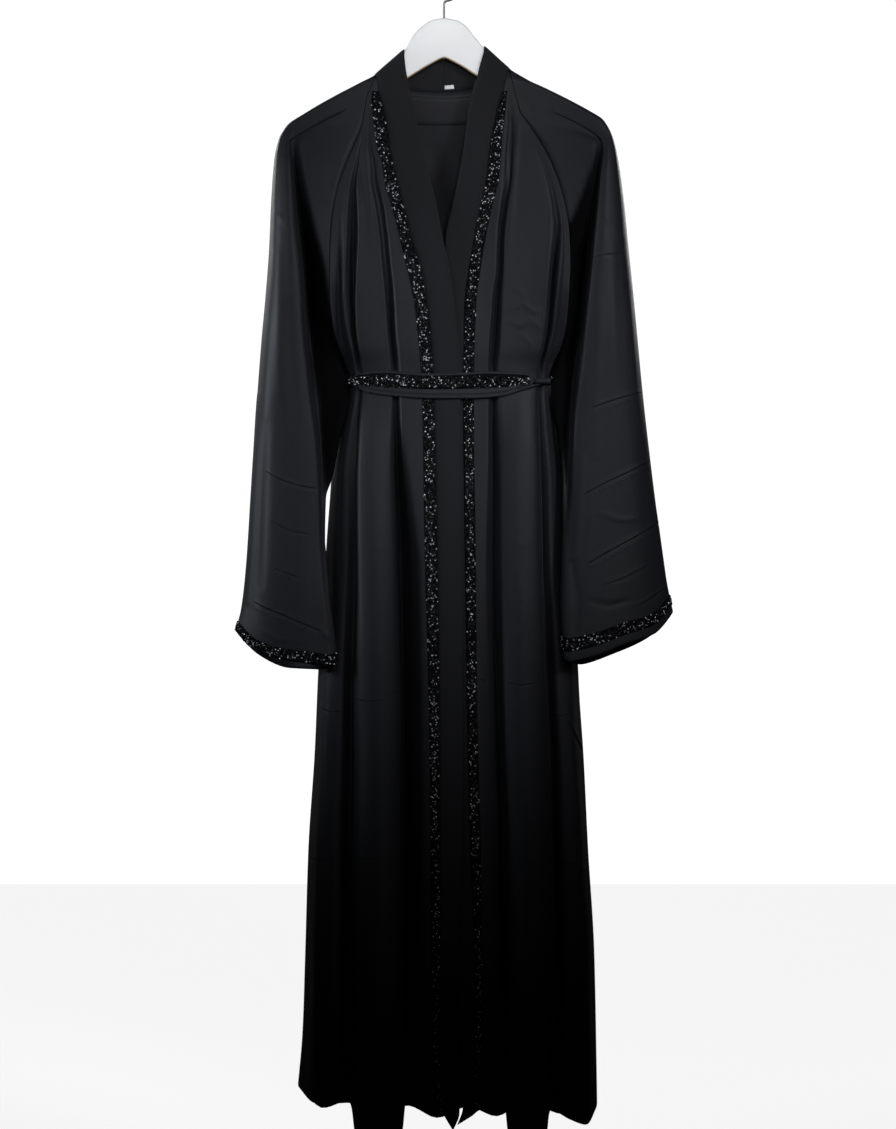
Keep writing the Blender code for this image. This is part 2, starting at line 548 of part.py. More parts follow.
def pull_back(piece):
    """Move sewn edges back by half a seam inside the cloth's own surface, fading over 6 mm."""
    grid = piece["grid"]
    moved = grid.copy()
    last_row, last_column = grid.shape[0] - 1, grid.shape[1] - 1
    for name in piece["sewn"]:
        for i, j in edge_of(grid.shape[:2], name):
            if "column" in name:
                a, b = grid[max(i - 1, 0), j], grid[min(i + 1, last_row), j]
                order = [(i, k) for k in range(last_column + 1)]
                if j:
                    order.reverse()
            else:
                a, b = grid[i, max(j - 1, 0)], grid[i, min(j + 1, last_column)]
                order = [(k, j) for k in range(last_row + 1)]
                if i:
                    order.reverse()
            inside = grid[order[1]]
            tangent = (b - a) / max(np.linalg.norm(b - a), 1e-12)
            across = np.cross(piece["normal"][i, j], tangent)
            across /= max(np.linalg.norm(across), 1e-12)
            if np.dot(across, inside - grid[i, j]) < 0:
                across = -across
            line = np.array([grid[k] for k in order])
            away = np.concatenate([[0.0], np.cumsum(np.linalg.norm(np.diff(line, axis=0), axis=1))])
            reach = min(6e-3, 0.45 * away[-1])
            for k, gone in zip(order, away):
                if gone >= reach:
                    break
                moved[k] = moved[k] + across * SEAM / 2 * (1 - gone / reach)
    piece["grid"] = moved


def wall_mesh(name, outer, inner, look):
    """A closed wall between two grids of points; outer faces out."""
    rows, columns = outer.shape[:2]
    count = rows * columns
    points = [tuple(p) for p in outer.reshape(-1, 3)] + [tuple(p) for p in inner.reshape(-1, 3)]
    faces = []

    def at(i, j, layer):
        return layer * count + i * columns + j

    for i in range(rows - 1):
        for j in range(columns - 1):
            a, b, c, d = at(i, j, 0), at(i, j + 1, 0), at(i + 1, j + 1, 0), at(i + 1, j, 0)
            faces += [(a, b, c), (a, c, d)]
            a, b, c, d = at(i, j, 1), at(i, j + 1, 1), at(i + 1, j + 1, 1), at(i + 1, j, 1)
            faces += [(a, c, b), (a, d, c)]
    for i in range(rows - 1):
        for j, turn in ((0, False), (columns - 1, True)):
            a, b, c, d = at(i, j, 0), at(i + 1, j, 0), at(i + 1, j, 1), at(i, j, 1)
            faces += [(a, c, b), (a, d, c)] if turn else [(a, b, c), (a, c, d)]
    for j in range(columns - 1):
        for i, turn in ((0, True), (rows - 1, False)):
            a, b, c, d = at(i, j, 0), at(i, j + 1, 0), at(i, j + 1, 1), at(i, j, 1)
            faces += [(a, c, b), (a, d, c)] if turn else [(a, b, c), (a, c, d)]
    return add_mesh(name, points, faces, look)


def add_mesh(name, points, faces, look):
    mesh = bpy.data.meshes.new(name)
    mesh.from_pydata(points, [], faces)
    mesh.update()
    volume = 0.0
    for face in faces:
        a, b, c = (np.array(points[k]) for k in face[:3])
        volume += np.dot(a, np.cross(b, c))
        if len(face) == 4:
            volume += np.dot(np.array(points[face[0]]), np.cross(c, np.array(points[face[3]])))
    if volume < 0:
        mesh.flip_normals()
    thing = bpy.data.objects.new(name, mesh)
    bpy.context.collection.objects.link(thing)
    mesh.materials.append(material(name, *look))
    mesh.shade_smooth()
    return thing


def material(name, colour, roughness, metallic):
    made = bpy.data.materials.new(name)
    made.use_nodes = True
    shader = made.node_tree.nodes["Principled BSDF"]
    shader.inputs["Base Color"].default_value = (*colour, 1.0)
    shader.inputs["Roughness"].default_value = roughness
    shader.inputs["Metallic"].default_value = metallic
    return made


SATIN = ((0.012, 0.012, 0.015), 0.35, 0.0)
CREPE = ((0.035, 0.035, 0.042), 0.85, 0.0)
BEADS = ((0.006, 0.006, 0.008), 0.15, 0.0)
WHITE = ((0.85, 0.84, 0.81), 0.45, 0.0)
STEEL = ((0.75, 0.75, 0.75), 0.25, 1.0)


def build_wall(name, piece, thick, look):
    grid, normal = piece["grid"], piece["normal"] * piece["mitre"]
    wall_mesh(name, grid + normal * thick / 2, grid - normal * thick / 2, look)


def patch(piece, rows, columns, lift, thick):
    """A piece lying on a panel, made from the panel's own points moved out."""
    i0, i1 = rows
    j0, j1 = columns
    grid = piece["grid"][i0:i1 + 1, j0:j1 + 1]
    normal = (piece["normal"] * piece["mitre"])[i0:i1 + 1, j0:j1 + 1]
    return grid + normal * (lift + thick), grid + normal * lift


# Hanger: outline of the flat wood, top contour then lower edge, as (step across, row)
WOOD_TOP = [(294, 123.4), (303, 117.8), (322, 107.2), (350, 92.8), (375, 80), (387, 70.6), (396, 61.8),
            (402, 55), (406.4, 48.4), (413, 35.5), (421, 27), (431, 20.4), (444, 18), (458, 20.6), (467, 27),
            (475, 37.8), (480, 43.4), (484.6, 49), (492, 59), (499, 66.6), (507, 72.6), (512, 75),
            (528, 83.4), (550, 93.8), (571, 104.2), (588, 114.2), (595.6, 120)]
WOOD_LOW = [(598.4, 123.6), (598.8, 127.2), (595, 129.8), (585, 126), (550, 109.5), (520, 96), (500, 86.6),
            (477, 76.5), (461, 66), (444, 57.4), (426, 67), (407, 79), (375, 94), (350, 107), (322, 121),
            (304, 130.2), (298, 131.4), (293.4, 129.4), (292.4, 126)]


def offset_outline(points, amount):
    """Outline moved inward by an amount, for the wood's rounded rim."""
    count = len(points)
    moved = []
    for k in range(count):
        before, here, after = points[k - 1], points[k], points[(k + 1) % count]
        edge_a = here - before
        edge_b = after - here
        normal_a = np.array([edge_a[1], -edge_a[0]]) / np.linalg.norm(edge_a)
        normal_b = np.array([edge_b[1], -edge_b[0]]) / np.linalg.norm(edge_b)
        mean = normal_a + normal_b
        mean /= max(np.linalg.norm(mean), 1e-9)
        moved.append(here + mean * amount)
    return moved


def build_wood():
    outline = [np.array([(x - HOOK_COLUMN) * GRID, -(CROWN_DROP + r * GRID)]) for x, r in WOOD_TOP + WOOD_LOW]
    half = WOOD_THICK / 2
    rings = [(-half, 2.6e-3), (-half + 0.8e-3, 0.9e-3), (-half + 2.6e-3, 0.0),
             (half - 2.6e-3, 0.0), (half - 0.8e-3, 0.9e-3), (half, 2.6e-3)]
    points = []
    faces = []
    count = len(outline)
    for y, inset in rings:
        for x, z in offset_outline(outline, inset):
            points.append((x, y, z))
    for r in range(len(rings) - 1):
        for k in range(count):
            n = (k + 1) % count
            faces.append((r * count + k, r * count + n, (r + 1) * count + n, (r + 1) * count + k))
    for layer, towards in ((0, -1.0), (len(rings) - 1, 1.0)):
        base = layer * count
        rim = [Vector(points[base + k]) for k in range(count)]
        for a, b, c in tessellate_polygon([rim]):
            turned = (rim[b] - rim[a]).cross(rim[c] - rim[a]).y * towards < 0
            faces.append((base + c, base + b, base + a) if turned else (base + a, base + b, base + c))
    triangles = []
    for face in faces:
        if len(face) == 4:
            triangles += [(face[0], face[1], face[2]), (face[0], face[2], face[3])]
        else:
            triangles.append(face)
    add_mesh("hanger_wood", points, triangles, WHITE)


def tube(name, path, radius, sides, look):
    """A closed round bar along a path in the XZ plane."""
    path = np.array(path)
    points = []
    faces = []
    for k, here in enumerate(path):
        tangent = path[min(k + 1, len(path) - 1)] - path[max(k - 1, 0)]
        tangent /= np.linalg.norm(tangent)
        side = np.array([0.0, 1.0, 0.0])
        other = np.cross(tangent, side)
        for n in range(sides):
            angle = 2 * math.pi * n / sides
            points.append(tuple(here + radius * (math.cos(angle) * side + math.sin(angle) * other)))
    for k in range(len(path) - 1):
        for n in range(sides):
            m = (n + 1) % sides
            a, b, c, d = k * sides + n, k * sides + m, (k + 1) * sides + m, (k + 1) * sides + n
            faces += [(a, b, c), (a, c, d)]
    for n in range(1, sides - 1):
        faces.append((0, n + 1, n))
        last = (len(path) - 1) * sides
        faces.append((last, last + n, last + n + 1))
    add_mesh(name, points, faces, look)


def build_hook():
    radius = HOOK_INNER + WIRE
    centre = -HOOK_INNER
    foot = -(CROWN_DROP + 18.0 * GRID) + SEAM
    path = [(0, 0, foot), (0, 0, -50e-3), (0.6e-3, 0, -46.5e-3), (2.6e-3, 0, -43e-3), (6.5e-3, 0, -39.6e-3),
            (11.2e-3, 0, -36e-3)]
    for k in range(21):
        angle = math.radians(-46 + k * 11.8)
        path.append((radius * math.cos(angle), 0, centre + radius * math.sin(angle)))
    tube("hanger_hook", path, WIRE, 8, STEEL)


def ring_round(pieces, rows):
    """Support lines round everything that lies within a band of rows, seen from above."""
    top = -(CROWN_DROP + rows[0] * GRID)
    low = -(CROWN_DROP + rows[1] * GRID)
    cloud = []
    for points in pieces:
        flat = points.reshape(-1, 3)
        keep = flat[(flat[:, 2] <= top) & (flat[:, 2] >= low)]
        cloud.append(keep[:, :2])
    return np.concatenate(cloud)


def support_ring(cloud, margin, angles):
    """Corners of the convex ring that clears every point by the margin."""
    lines = []
    for angle in angles:
        direction = np.array([math.cos(angle), math.sin(angle)])
        lines.append((direction, float(np.max(cloud @ direction)) + margin))
    corners = []
    for k in range(len(lines)):
        (n1, h1), (n2, h2) = lines[k], lines[(k + 1) % len(lines)]
        corners.append(np.linalg.solve(np.array([n1, n2]), np.array([h1, h2])))
    return corners


def resample(path, longest):
    """Keep the corners of an open path and split its long stretches."""
    made = [path[0]]
    for a, b in zip(path, path[1:]):
        length = np.linalg.norm(b - a)
        if length < 0.4e-3:
            continue
        pieces = max(1, math.ceil(length / longest))
        for k in range(pieces):
            made.append(a + (b - a) * (k + 1) / pieces)
    return np.array(made)


def ribbon(name, path, tops, lows, thick, look, steps=2):
    """An upright strip whose middle follows a path seen from above."""
    tangent = np.gradient(path, axis=0)
    tangent /= np.linalg.norm(tangent, axis=1, keepdims=True)
    normal = np.stack([tangent[:, 1], -tangent[:, 0]], axis=1)
    outer = []
    inner = []
    for k in range(steps + 1):
        share = k / steps
        heights = tops * (1 - share) + lows * share
        z = -(CROWN_DROP + heights * GRID)
        outer.append(np.column_stack([path + normal * thick / 2, z]))
        inner.append(np.column_stack([path - normal * thick / 2, z]))
    wall_mesh(name, np.array(outer), np.array(inner), look)
    return path, normal


BELT_TOP = [(348, 379.4), (353, 377.6), (363, 374), (386, 372), (426, 375), (463, 374), (486, 372.6),
            (519, 374), (552, 377.6)]
BELT_LOW = [(348, 384.4), (353, 386), (363, 391.7), (386, 396.7), (436, 400), (469, 400), (502, 397.5),
            (519, 392.5), (552, 385)]
BELT_TRIM_TOP = [(348, 378), (353, 377.4), (380, 376.6), (450, 377), (529, 378)]
BELT_TRIM_LOW = [(348, 384), (353, 386), (380, 389), (450, 390.5), (529, 387)]


def belt_path(cloud, margin, x_from, x_to):
    """Front stretch of the ring between two places across, from left to right."""
    angles = [math.radians(a) for a in range(-180, 180, 4)]
    ring = support_ring(cloud, margin, angles)
    front = sorted([p for p in ring if p[1] < 0.004], key=lambda p: p[0])
    xs = np.array([p[0] for p in front])
    ys = np.array([p[1] for p in front])
    path = [np.array([x_from, np.interp(x_from, xs, ys)])]
    path += [p for p in front if x_from + 1e-3 < p[0] < x_to - 1e-3]
    path.append(np.array([x_to, np.interp(x_to, xs, ys)]))
    return resample(path, 9e-3)


def back_path(cloud, margin, left, right):
    """Stretch of the ring that runs from the left end of the belt round the back to its right end."""
    angles = [math.radians(a) for a in range(-180, 180, 6)]
    ring = support_ring(cloud, margin, angles)
    start = min(range(len(ring)), key=lambda k: np.linalg.norm(ring[k] - left))
    order = [ring[(start - k) % len(ring)] for k in range(len(ring))]
    path = [left]
    for p in order:
        if p[1] < left[1] + 1e-3 and p[0] < 0:
            continue
        if p[1] < right[1] + 1e-3 and p[0] > 0:
            continue
        path.append(p)
    path.append(right)
    return resample(path, 16e-3)


def build_belt(surfaces):
    cloud = ring_round(surfaces, (365, 403))
    low = (350.5 - HOOK_COLUMN) * GRID
    high = (550.5 - HOOK_COLUMN) * GRID
    path = belt_path(cloud, SEAM + BELT / 2 + 0.5e-3, low, high)
    steps = path[:, 0] / GRID + HOOK_COLUMN
    tops = np.array([along(BELT_TOP, x) for x in steps])
    lows = np.array([along(BELT_LOW, x) for x in steps])
    path, normal = ribbon("belt_front", path, tops, lows, BELT, SATIN, steps=1)
    keep = steps < 529.5
    lift = BELT / 2 + SEAM + TRIM / 2
    lane = (path + normal * lift)[keep]
    tops = np.array([along(BELT_TRIM_TOP, x) for x in steps[keep]])
    lows = np.array([along(BELT_TRIM_LOW, x) for x in steps[keep]])
    ribbon("belt_trim", lane, tops, lows, TRIM, BEADS, steps=1)
    cloud = ring_round(surfaces, (372, 398))
    first, second = path[0] - path[1], path[-1] - path[-2]
    left = path[0] + first / np.linalg.norm(first) * SEAM * 2
    right = path[-1] + second / np.linalg.norm(second) * SEAM * 2
    tie = back_path(cloud, SEAM + BELT / 2 + 0.7e-3, left, right)
    tie = tie[::-1]
    ribbon("belt_tie_back", tie[::-1], np.full(len(tie), 379.6), np.full(len(tie), 384.2), BELT, SATIN, steps=1)
    return tie[::-1]


def build_loops(tie):
    """Thread loops that hold the tie just behind the side seams."""
    for name, sign in (("belt_loop_left", -1.0), ("belt_loop_right", 1.0)):
        ours = [k for k in range(1, len(tie) - 1) if sign * tie[k][0] > 0.09]
        first = min(ours, key=lambda k: abs(tie[k][1] - 0.012))
        here = tie[first]
        run = tie[first + 1] - tie[first - 1]
        outward = np.array([run[1], -run[0]]) / np.linalg.norm(run)
        if outward[0] * sign < 0:
            outward = -outward
        sideways = np.array([-outward[1], outward[0]])
        lane = [(-0.6, 375.8), (0.6, 376.6), (2.0, 378.2), (2.0, 385.6), (0.6, 387.2), (-0.6, 388.0)]
        outer = []
        inner = []
        for shift in (-1.2e-3, 1.2e-3):
            line_out = []
            line_in = []
            for n, (away, row) in enumerate(lane):
                before, after = lane[max(n - 1, 0)], lane[min(n + 1, len(lane) - 1)]
                turn = np.array([(after[0] - before[0]) * 1e-3, -(after[1] - before[1]) * GRID])
                turn /= np.linalg.norm(turn)
                middle = here + outward * away * 1e-3 + sideways * shift
                z = -(CROWN_DROP + row * GRID)
                step_out = -turn[1] * 0.6e-3
                step_up = turn[0] * 0.6e-3
                line_out.append((*(middle + outward * step_out), z + step_up))
                line_in.append((*(middle - outward * step_out), z - step_up))
            outer.append(line_out)
            inner.append(line_in)
        wall_mesh(name, np.array(outer), np.array(inner), SATIN)


def clear_scene():
    for thing in list(bpy.data.objects):
        bpy.data.objects.remove(thing, do_unlink=True)


def build():
    clear_scene()
    back = back_grid()
    pieces = {}
    pieces["back_panel"] = {"grid": back, "sign": 1, "sewn": ["first_row", "first_column", "last_column"]}
    for side in ("left", "right"):
        sign = 1 if side == "left" else -1
        pieces["front_" + side] = {"grid": front_grid(side), "sign": sign,
                                   "sewn": ["first_column", "last_column", "first_row"]}
        pieces["sleeve_" + side] = {"grid": sleeve_grid(side), "sign": sign,
                                    "sewn": ["first_column", "last_column", "first_row"]}
        pieces["neck_band_" + side] = {"grid": band_grid(side, back), "sign": sign, "sewn": ["first_column", "last_row"]}
    for piece in pieces.values():
        piece["normal"] = facing(piece["grid"], piece["sign"])
        piece["mitre"] = mitre(piece["grid"])
    shared(pieces)
    settle(pieces)
    for piece in pieces.values():
        pull_back(piece)
    outside = []
    for name, piece in pieces.items():
        thick = BAND if "band" in name else CLOTH
        build_wall(name, piece, thick, CREPE if "band" in name else SATIN)
        if "sleeve" not in name:
            outside.append(piece["grid"] + piece["normal"] * thick / 2)
    for side in ("left", "right"):
        front = pieces["front_" + side]
        last = front["grid"].shape[0] - 1
        outer, inner = patch(front, (2, last), (0, FRONT_COLUMNS[0]), CLOTH / 2 + SEAM, TRIM)
        outside.append(outer)
        wall_mesh("trim_" + side, outer, inner, BEADS)
        sleeve = pieces["sleeve_" + side]
        last = sleeve["grid"].shape[0] - (1 if side == "left" else 2)
        outer, inner = patch(sleeve, (last - 1, last), (1, sleeve["grid"].shape[1] - 2), CLOTH / 2 + SEAM, TRIM)
        wall_mesh("cuff_trim_" + side, outer, inner, BEADS)
    tie = build_belt(outside)
    build_loops(tie)
    panel = pieces["back_panel"]
    inward = -(CLOTH / 2 + SEAM)
    outer, inner = patch(panel, (0, 5), (4, BACK_COLUMNS - 4), inward, -1.0e-3)
    wall_mesh("back_neck_facing", inner, outer, SATIN)
    band = pieces["neck_band_right"]
    build_tab(band)
    build_wood()
    build_hook()


def build_tab(band):
    """Blank tab inside the back of the band, near its seam."""
    i = band["grid"].shape[0] - 2
    first, second = band["grid"][i - 1], band["grid"][i]
    normal = band["normal"][i]
    rows = []
    for share_down in (0.16, 0.30):
        line = []
        for share_across in (0.25, 0.75):
            seam = first[0] * share_across + second[0] * (1 - share_across)
            edge = first[-1] * share_across + second[-1] * (1 - share_across)
            line.append(seam * (1 - share_down) + edge * share_down)
        rows.append(line)
    grid = np.array(rows)
    lift = BAND / 2 + SEAM
    mean = normal[1]
    wall_mesh("size_tab", grid - mean * lift, grid - mean * (lift + 0.5e-3), WHITE)


build()
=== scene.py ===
# Looks of the open-front abaya cloak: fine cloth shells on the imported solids' form, beads, sewing and light.
# Metres, +Z up, the front faces -Y, the origin is the inner crown of the hanger's hook.
# Left and right are as seen from the front.
import json
import math

import bmesh
import bpy
import numpy as np
from mathutils import Matrix, Vector

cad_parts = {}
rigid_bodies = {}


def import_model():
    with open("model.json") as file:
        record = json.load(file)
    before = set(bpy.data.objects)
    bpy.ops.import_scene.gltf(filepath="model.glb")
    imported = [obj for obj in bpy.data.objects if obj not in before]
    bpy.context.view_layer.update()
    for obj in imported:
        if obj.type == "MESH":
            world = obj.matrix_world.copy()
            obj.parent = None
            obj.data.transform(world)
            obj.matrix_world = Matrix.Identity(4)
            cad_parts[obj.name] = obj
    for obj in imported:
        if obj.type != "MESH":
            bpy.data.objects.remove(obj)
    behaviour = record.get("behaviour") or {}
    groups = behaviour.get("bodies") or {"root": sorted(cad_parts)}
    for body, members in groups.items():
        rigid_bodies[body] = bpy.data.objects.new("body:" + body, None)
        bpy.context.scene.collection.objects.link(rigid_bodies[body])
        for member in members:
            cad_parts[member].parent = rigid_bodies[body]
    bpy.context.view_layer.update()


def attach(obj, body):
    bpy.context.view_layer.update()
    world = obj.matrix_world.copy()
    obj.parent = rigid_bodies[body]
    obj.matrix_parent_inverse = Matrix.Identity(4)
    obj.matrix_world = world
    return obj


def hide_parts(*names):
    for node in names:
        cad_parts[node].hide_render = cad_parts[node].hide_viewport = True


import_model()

# The tables are in steps of this size across and down, depths are in mm
grid = 1.4e-3
hookColumn = 444.0
crownDrop = 34.8e-3
underarm = 366.0
lowRow = 1010.0
hemRow = 1100.0

cloth = {"satin": 1.6e-3, "band": 1.8e-3, "belt": 1.6e-3, "seam": 0.3e-3, "groove": 0.45e-3,
         "grooveWidth": 2.6e-3}
fine = {"rowStep": 2.2, "front": 9, "back": 54, "sleeve": 7, "band": 10, "arc": 14}
# bright and clusters are the shares of beads given painted glints
beadLook = {"pitch": 2.15e-3, "size": 0.95e-3, "seed": 7, "bright": 0.07, "clusters": 0.17}


def smooth(knots, values, where):
    xs = np.asarray(knots, float)
    ys = np.asarray(values, float)
    where = np.atleast_1d(np.asarray(where, float))
    step = np.diff(xs)
    step = step.reshape(-1, *([1] * (ys.ndim - 1)))
    slope = np.diff(ys, axis=0) / step
    tangent = np.zeros_like(ys)
    tangent[0] = slope[0]
    tangent[-1] = slope[-1]
    before, after = slope[:-1], slope[1:]
    wa = 2 * step[1:] + step[:-1]
    wb = step[1:] + 2 * step[:-1]
    same = before * after > 0
    safeBefore = np.where(same, before, 1.0)
    safeAfter = np.where(same, after, 1.0)
    tangent[1:-1] = np.where(same, (wa + wb) / (wa / safeBefore + wb / safeAfter), 0.0)
    i = np.clip(np.searchsorted(xs, where) - 1, 0, len(xs) - 2)
    gap = step.reshape(-1)[i]
    t = np.clip((where - xs[i]) / gap, 0, 1)
    if ys.ndim > 1:
        t = t.reshape(-1, *([1] * (ys.ndim - 1)))
        gap = gap.reshape(t.shape)
    h00 = 2 * t**3 - 3 * t**2 + 1
    h10 = t**3 - 2 * t**2 + t
    h01 = -2 * t**3 + 3 * t**2
    h11 = t**3 - t**2
    return h00 * ys[i] + h10 * gap * tangent[i] + h01 * ys[i + 1] + h11 * gap * tangent[i + 1]


def along(table, rows):
    return smooth([p[0] for p in table], [p[1] for p in table], rows)


def place(across, depth, row):
    across, depth, row = np.broadcast_arrays(across, depth, row)
    return np.stack([(across - hookColumn) * grid, depth * 1e-3, -(crownDrop + row * grid)], axis=-1)


def finer(rows, step):
    made = [float(rows[0])]
    for a, b in zip(rows, rows[1:]):
        count = max(1, math.ceil((b - a) / step))
        made += [a + (b - a) * (k + 1) / count for k in range(count)]
    return made


armRows = finer([82, 90, 100, 112, 125, 145, 170, 200, 235, 270, 305, 340, underarm], fine["rowStep"])
skirtRows = finer([underarm, 378, 397, 415, 445, 490, 550, 620, 700, 780, 860, 940, 1010, 1060, 1100],
                  fine["rowStep"] * 1.5)[1:]
lineRows = [80, 122, 160, 218, 280, 350, 378, 396, 445, 575, 750, 1100]

sides = {
    "left": {
        "sign": -1.0,
        "top": 77.0,
        "bandEdge": [(77, 377), (93, 379), (106, 383), (124, 387), (147, 390), (169, 394), (192, 400),
                      (215, 406), (239, 412), (263, 419.5), (283, 424.5), (308, 428), (330, 430.5),
                      (354, 432.6), (378, 433.8), (402, 434.6), (560, 438), (700, 440), (1039, 440.5),
                      (1107, 443)],
        "trimEdge": [(77, 376.3), (82, 374.9), (90, 373), (98, 371.6), (106, 371), (112, 372), (133, 375.5),
                      (154, 378.5), (163, 381.5), (184, 385), (209, 392), (232, 398), (263, 405), (283, 410),
                      (308, 414.5), (330, 417), (354, 419.5), (373, 421), (402, 422), (560, 425), (700, 428.6),
                      (850, 431), (1000, 432), (1107, 436)],
        "seam": [(77, 375.3), (82, 373.2), (90, 369.8), (97, 367.2), (110, 365), (125, 362.6), (145, 355),
                 (158, 349.5), (194, 337), (235, 331), (264, 330), (293, 330), (325, 333), (345, 338),
                 (366, 346), (378, 348.8), (390, 348), (430, 340), (480, 331.5), (500, 330), (540, 327),
                 (600, 323.5), (670, 318.5), (750, 315), (850, 308.5), (950, 305.5), (1040, 302.5),
                 (1100, 298)],
        "hem": [1107, 1106, 1098, 1096, 1130, 1142, 1138, 1100, 1099, 1099, 1086],
        # share of the way from the trim's edge to the seam of each fold line, at lineRows
        "share": {
            "valley_trim":  [.13, .20, .16, .106, .17, .235, .25, .253, .222, .113, .12, .12],
            "valley_mid":   [.26, .40, .25, .22, .27, .33, .358, .348, .304, .232, .22, .21],
            "pleat_in":     [.38, .50, .37, .30, .34, .387, .42, .41, .374, .322, .29, .25],
            "pleat_top":    [.46, .62, .48, .45, .50, .57, .62, .617, .56, .48, .45, .41],
            "pleat_edge":   [.55, .74, .60, .56, .65, .74, .793, .786, .73, .656, .61, .56],
            "valley_deep":  [.66, .82, .70, .66, .70, .765, .82, .813, .76, .70, .68, .62],
            "ridge_side":   [.78, .89, .80, .77, .81, .846, .89, .873, .853, .79, .79, .74],
            "edge_side":    [.90, .95, .91, .886, .89, .928, .955, .934, .923, .89, .90, .87],
        },
        # how far each fold line stands behind (+) or before (-) the plain section, mm
        "offset": {
            "valley_trim":  [0, 0, 0, -1, -1, -1, -1, -1, -1, 3, 8, 10],
            "valley_mid":   [0, 1, 3, 6, 9, 16, 9, 10, 15, 19, 23, 27],
            "pleat_in":     [0, 0, 0, -1, -1, 0, 0, 0, 0, -2, -2, -2],
            "pleat_top":    [0, 0, -1, -2, -3, -3, -1, -2, -9, -14, -18, -22],
            "pleat_edge":   [0, 0, -1, -4, -5, -5, -2, -2, -8, -10, -9, -10],
            "valley_deep":  [0, 0, 2, 9, 15, 13, 5, 5, 10, 20, 24, 28],
            "ridge_side":   [0, 0, -1, -3, -5, -4, -1, -1, 2, 8, 1, -2],
            "edge_side":    [0, 0, 0, 1, 7, 11, 4, 3, 5, 8, -6, -9],
        },
    },
    "right": {
        "sign": 1.0,
        "top": 71.0,
        "bandEdge": [(71, 507.6), (80, 505.5), (94, 502), (108, 497.5), (124, 494), (135, 491.6), (153, 489),
                      (169, 487), (184, 485), (203, 481), (217, 477.5), (239, 474), (256, 471), (276, 467.6),
                      (296, 465), (313, 464), (373, 463.4), (402, 463.2), (565, 465), (700, 466.7),
                      (850, 470), (1000, 475.8), (1040, 475), (1102, 471.6)],
        "trimEdge": [(71, 508.2), (79, 508.2), (90, 507.6), (100, 506.5), (122, 504.2), (140, 502),
                      (158, 501), (170, 500), (186, 498), (201, 494), (215, 491), (232, 487.5), (256, 483),
                      (276, 480), (296, 477), (313, 476), (346, 474.8), (402, 474), (560, 475.8), (700, 477),
                      (850, 480.5), (1000, 482), (1040, 482), (1102, 479)],
        "seam": [(71, 509.3), (79, 511.4), (90, 513.6), (100, 516.4), (111, 519), (125, 528.5), (138, 537),
                 (151, 544.5), (164, 551), (199, 563), (235, 569), (264, 570), (290, 569), (325, 566),
                 (350, 560), (366, 552.5), (378, 551), (395, 553), (430, 558), (480, 565), (560, 570),
                 (650, 577), (700, 579.5), (750, 583), (850, 588), (950, 594), (1040, 596), (1100, 597)],
        "hem": [1110, 1104, 1099, 1100, 1131, 1142, 1138, 1107, 1115, 1121, 1106],
        "share": {
            "valley_trim":  [.13, .14, .10, .10, .162, .155, .17, .165, .147, .095, .12, .12],
            "valley_mid":   [.28, .30, .20, .167, .218, .22, .235, .228, .211, .168, .21, .21],
            "pleat_in":     [.40, .42, .30, .245, .284, .296, .314, .316, .305, .284, .26, .25],
            "pleat_top":    [.50, .52, .52, .52, .53, .53, .556, .544, .51, .474, .43, .40],
            "pleat_edge":   [.62, .64, .78, .789, .746, .771, .81, .772, .714, .658, .62, .55],
            "valley_deep":  [.70, .72, .84, .855, .80, .806, .85, .81, .755, .70, .68, .61],
            "ridge_side":   [.80, .82, .90, .913, .873, .865, .902, .873, .836, .79, .79, .76],
            "edge_side":    [.90, .92, .95, .95, .934, .912, .941, .937, .918, .895, .90, .90],
        },
        "offset": {
            "valley_trim":  [0, 0, 0, -1, -1, -1, -1, -1, -1, 2, 8, 10],
            "valley_mid":   [0, 1, 3, 9, 12, 16, 9, 10, 15, 19, 23, 27],
            "pleat_in":     [0, 0, -1, -1, -2, -1, 0, 0, 0, -2, -2, -2],
            "pleat_top":    [0, 0, -1, -2, -3, -2, -1, -2, -9, -14, -18, -22],
            "pleat_edge":   [0, 0, -1, -3, -6, -6, -2, -2, -8, -10, -9, -10],
            "valley_deep":  [0, 0, 0, 2, 12, 12, 4, 5, 10, 20, 24, 28],
            "ridge_side":   [0, 0, -1, -2, -3, -3, -1, -1, 2, 8, 1, -2],
            "edge_side":    [0, 0, 0, 0, 1, 9, 4, 3, 5, 8, -6, -9],
        },
    },
}


frontDepths = [(71, 9), (100, 11), (122, 15), (160, 26), (218, 38), (280, 46), (350, 50), (378, 48),
               (396, 50), (445, 54), (575, 62), (750, 70), (1100, 82)]
backDepths = [(71, 9), (100, 12), (122, 15), (160, 22), (218, 30), (280, 34), (350, 38), (378, 37),
              (396, 39), (445, 44), (575, 52), (750, 60), (1100, 72)]
seamDepths = [(71, 9), (90, 9.3), (122, 12), (160, 20), (218, 31), (280, 34), (320, 28), (345, 16),
              (366, 0), (1100, 0)]
foldLines = ["valley_trim", "valley_mid", "pleat_in", "pleat_top", "pleat_edge", "valley_deep",
         "ridge_side", "edge_side"]

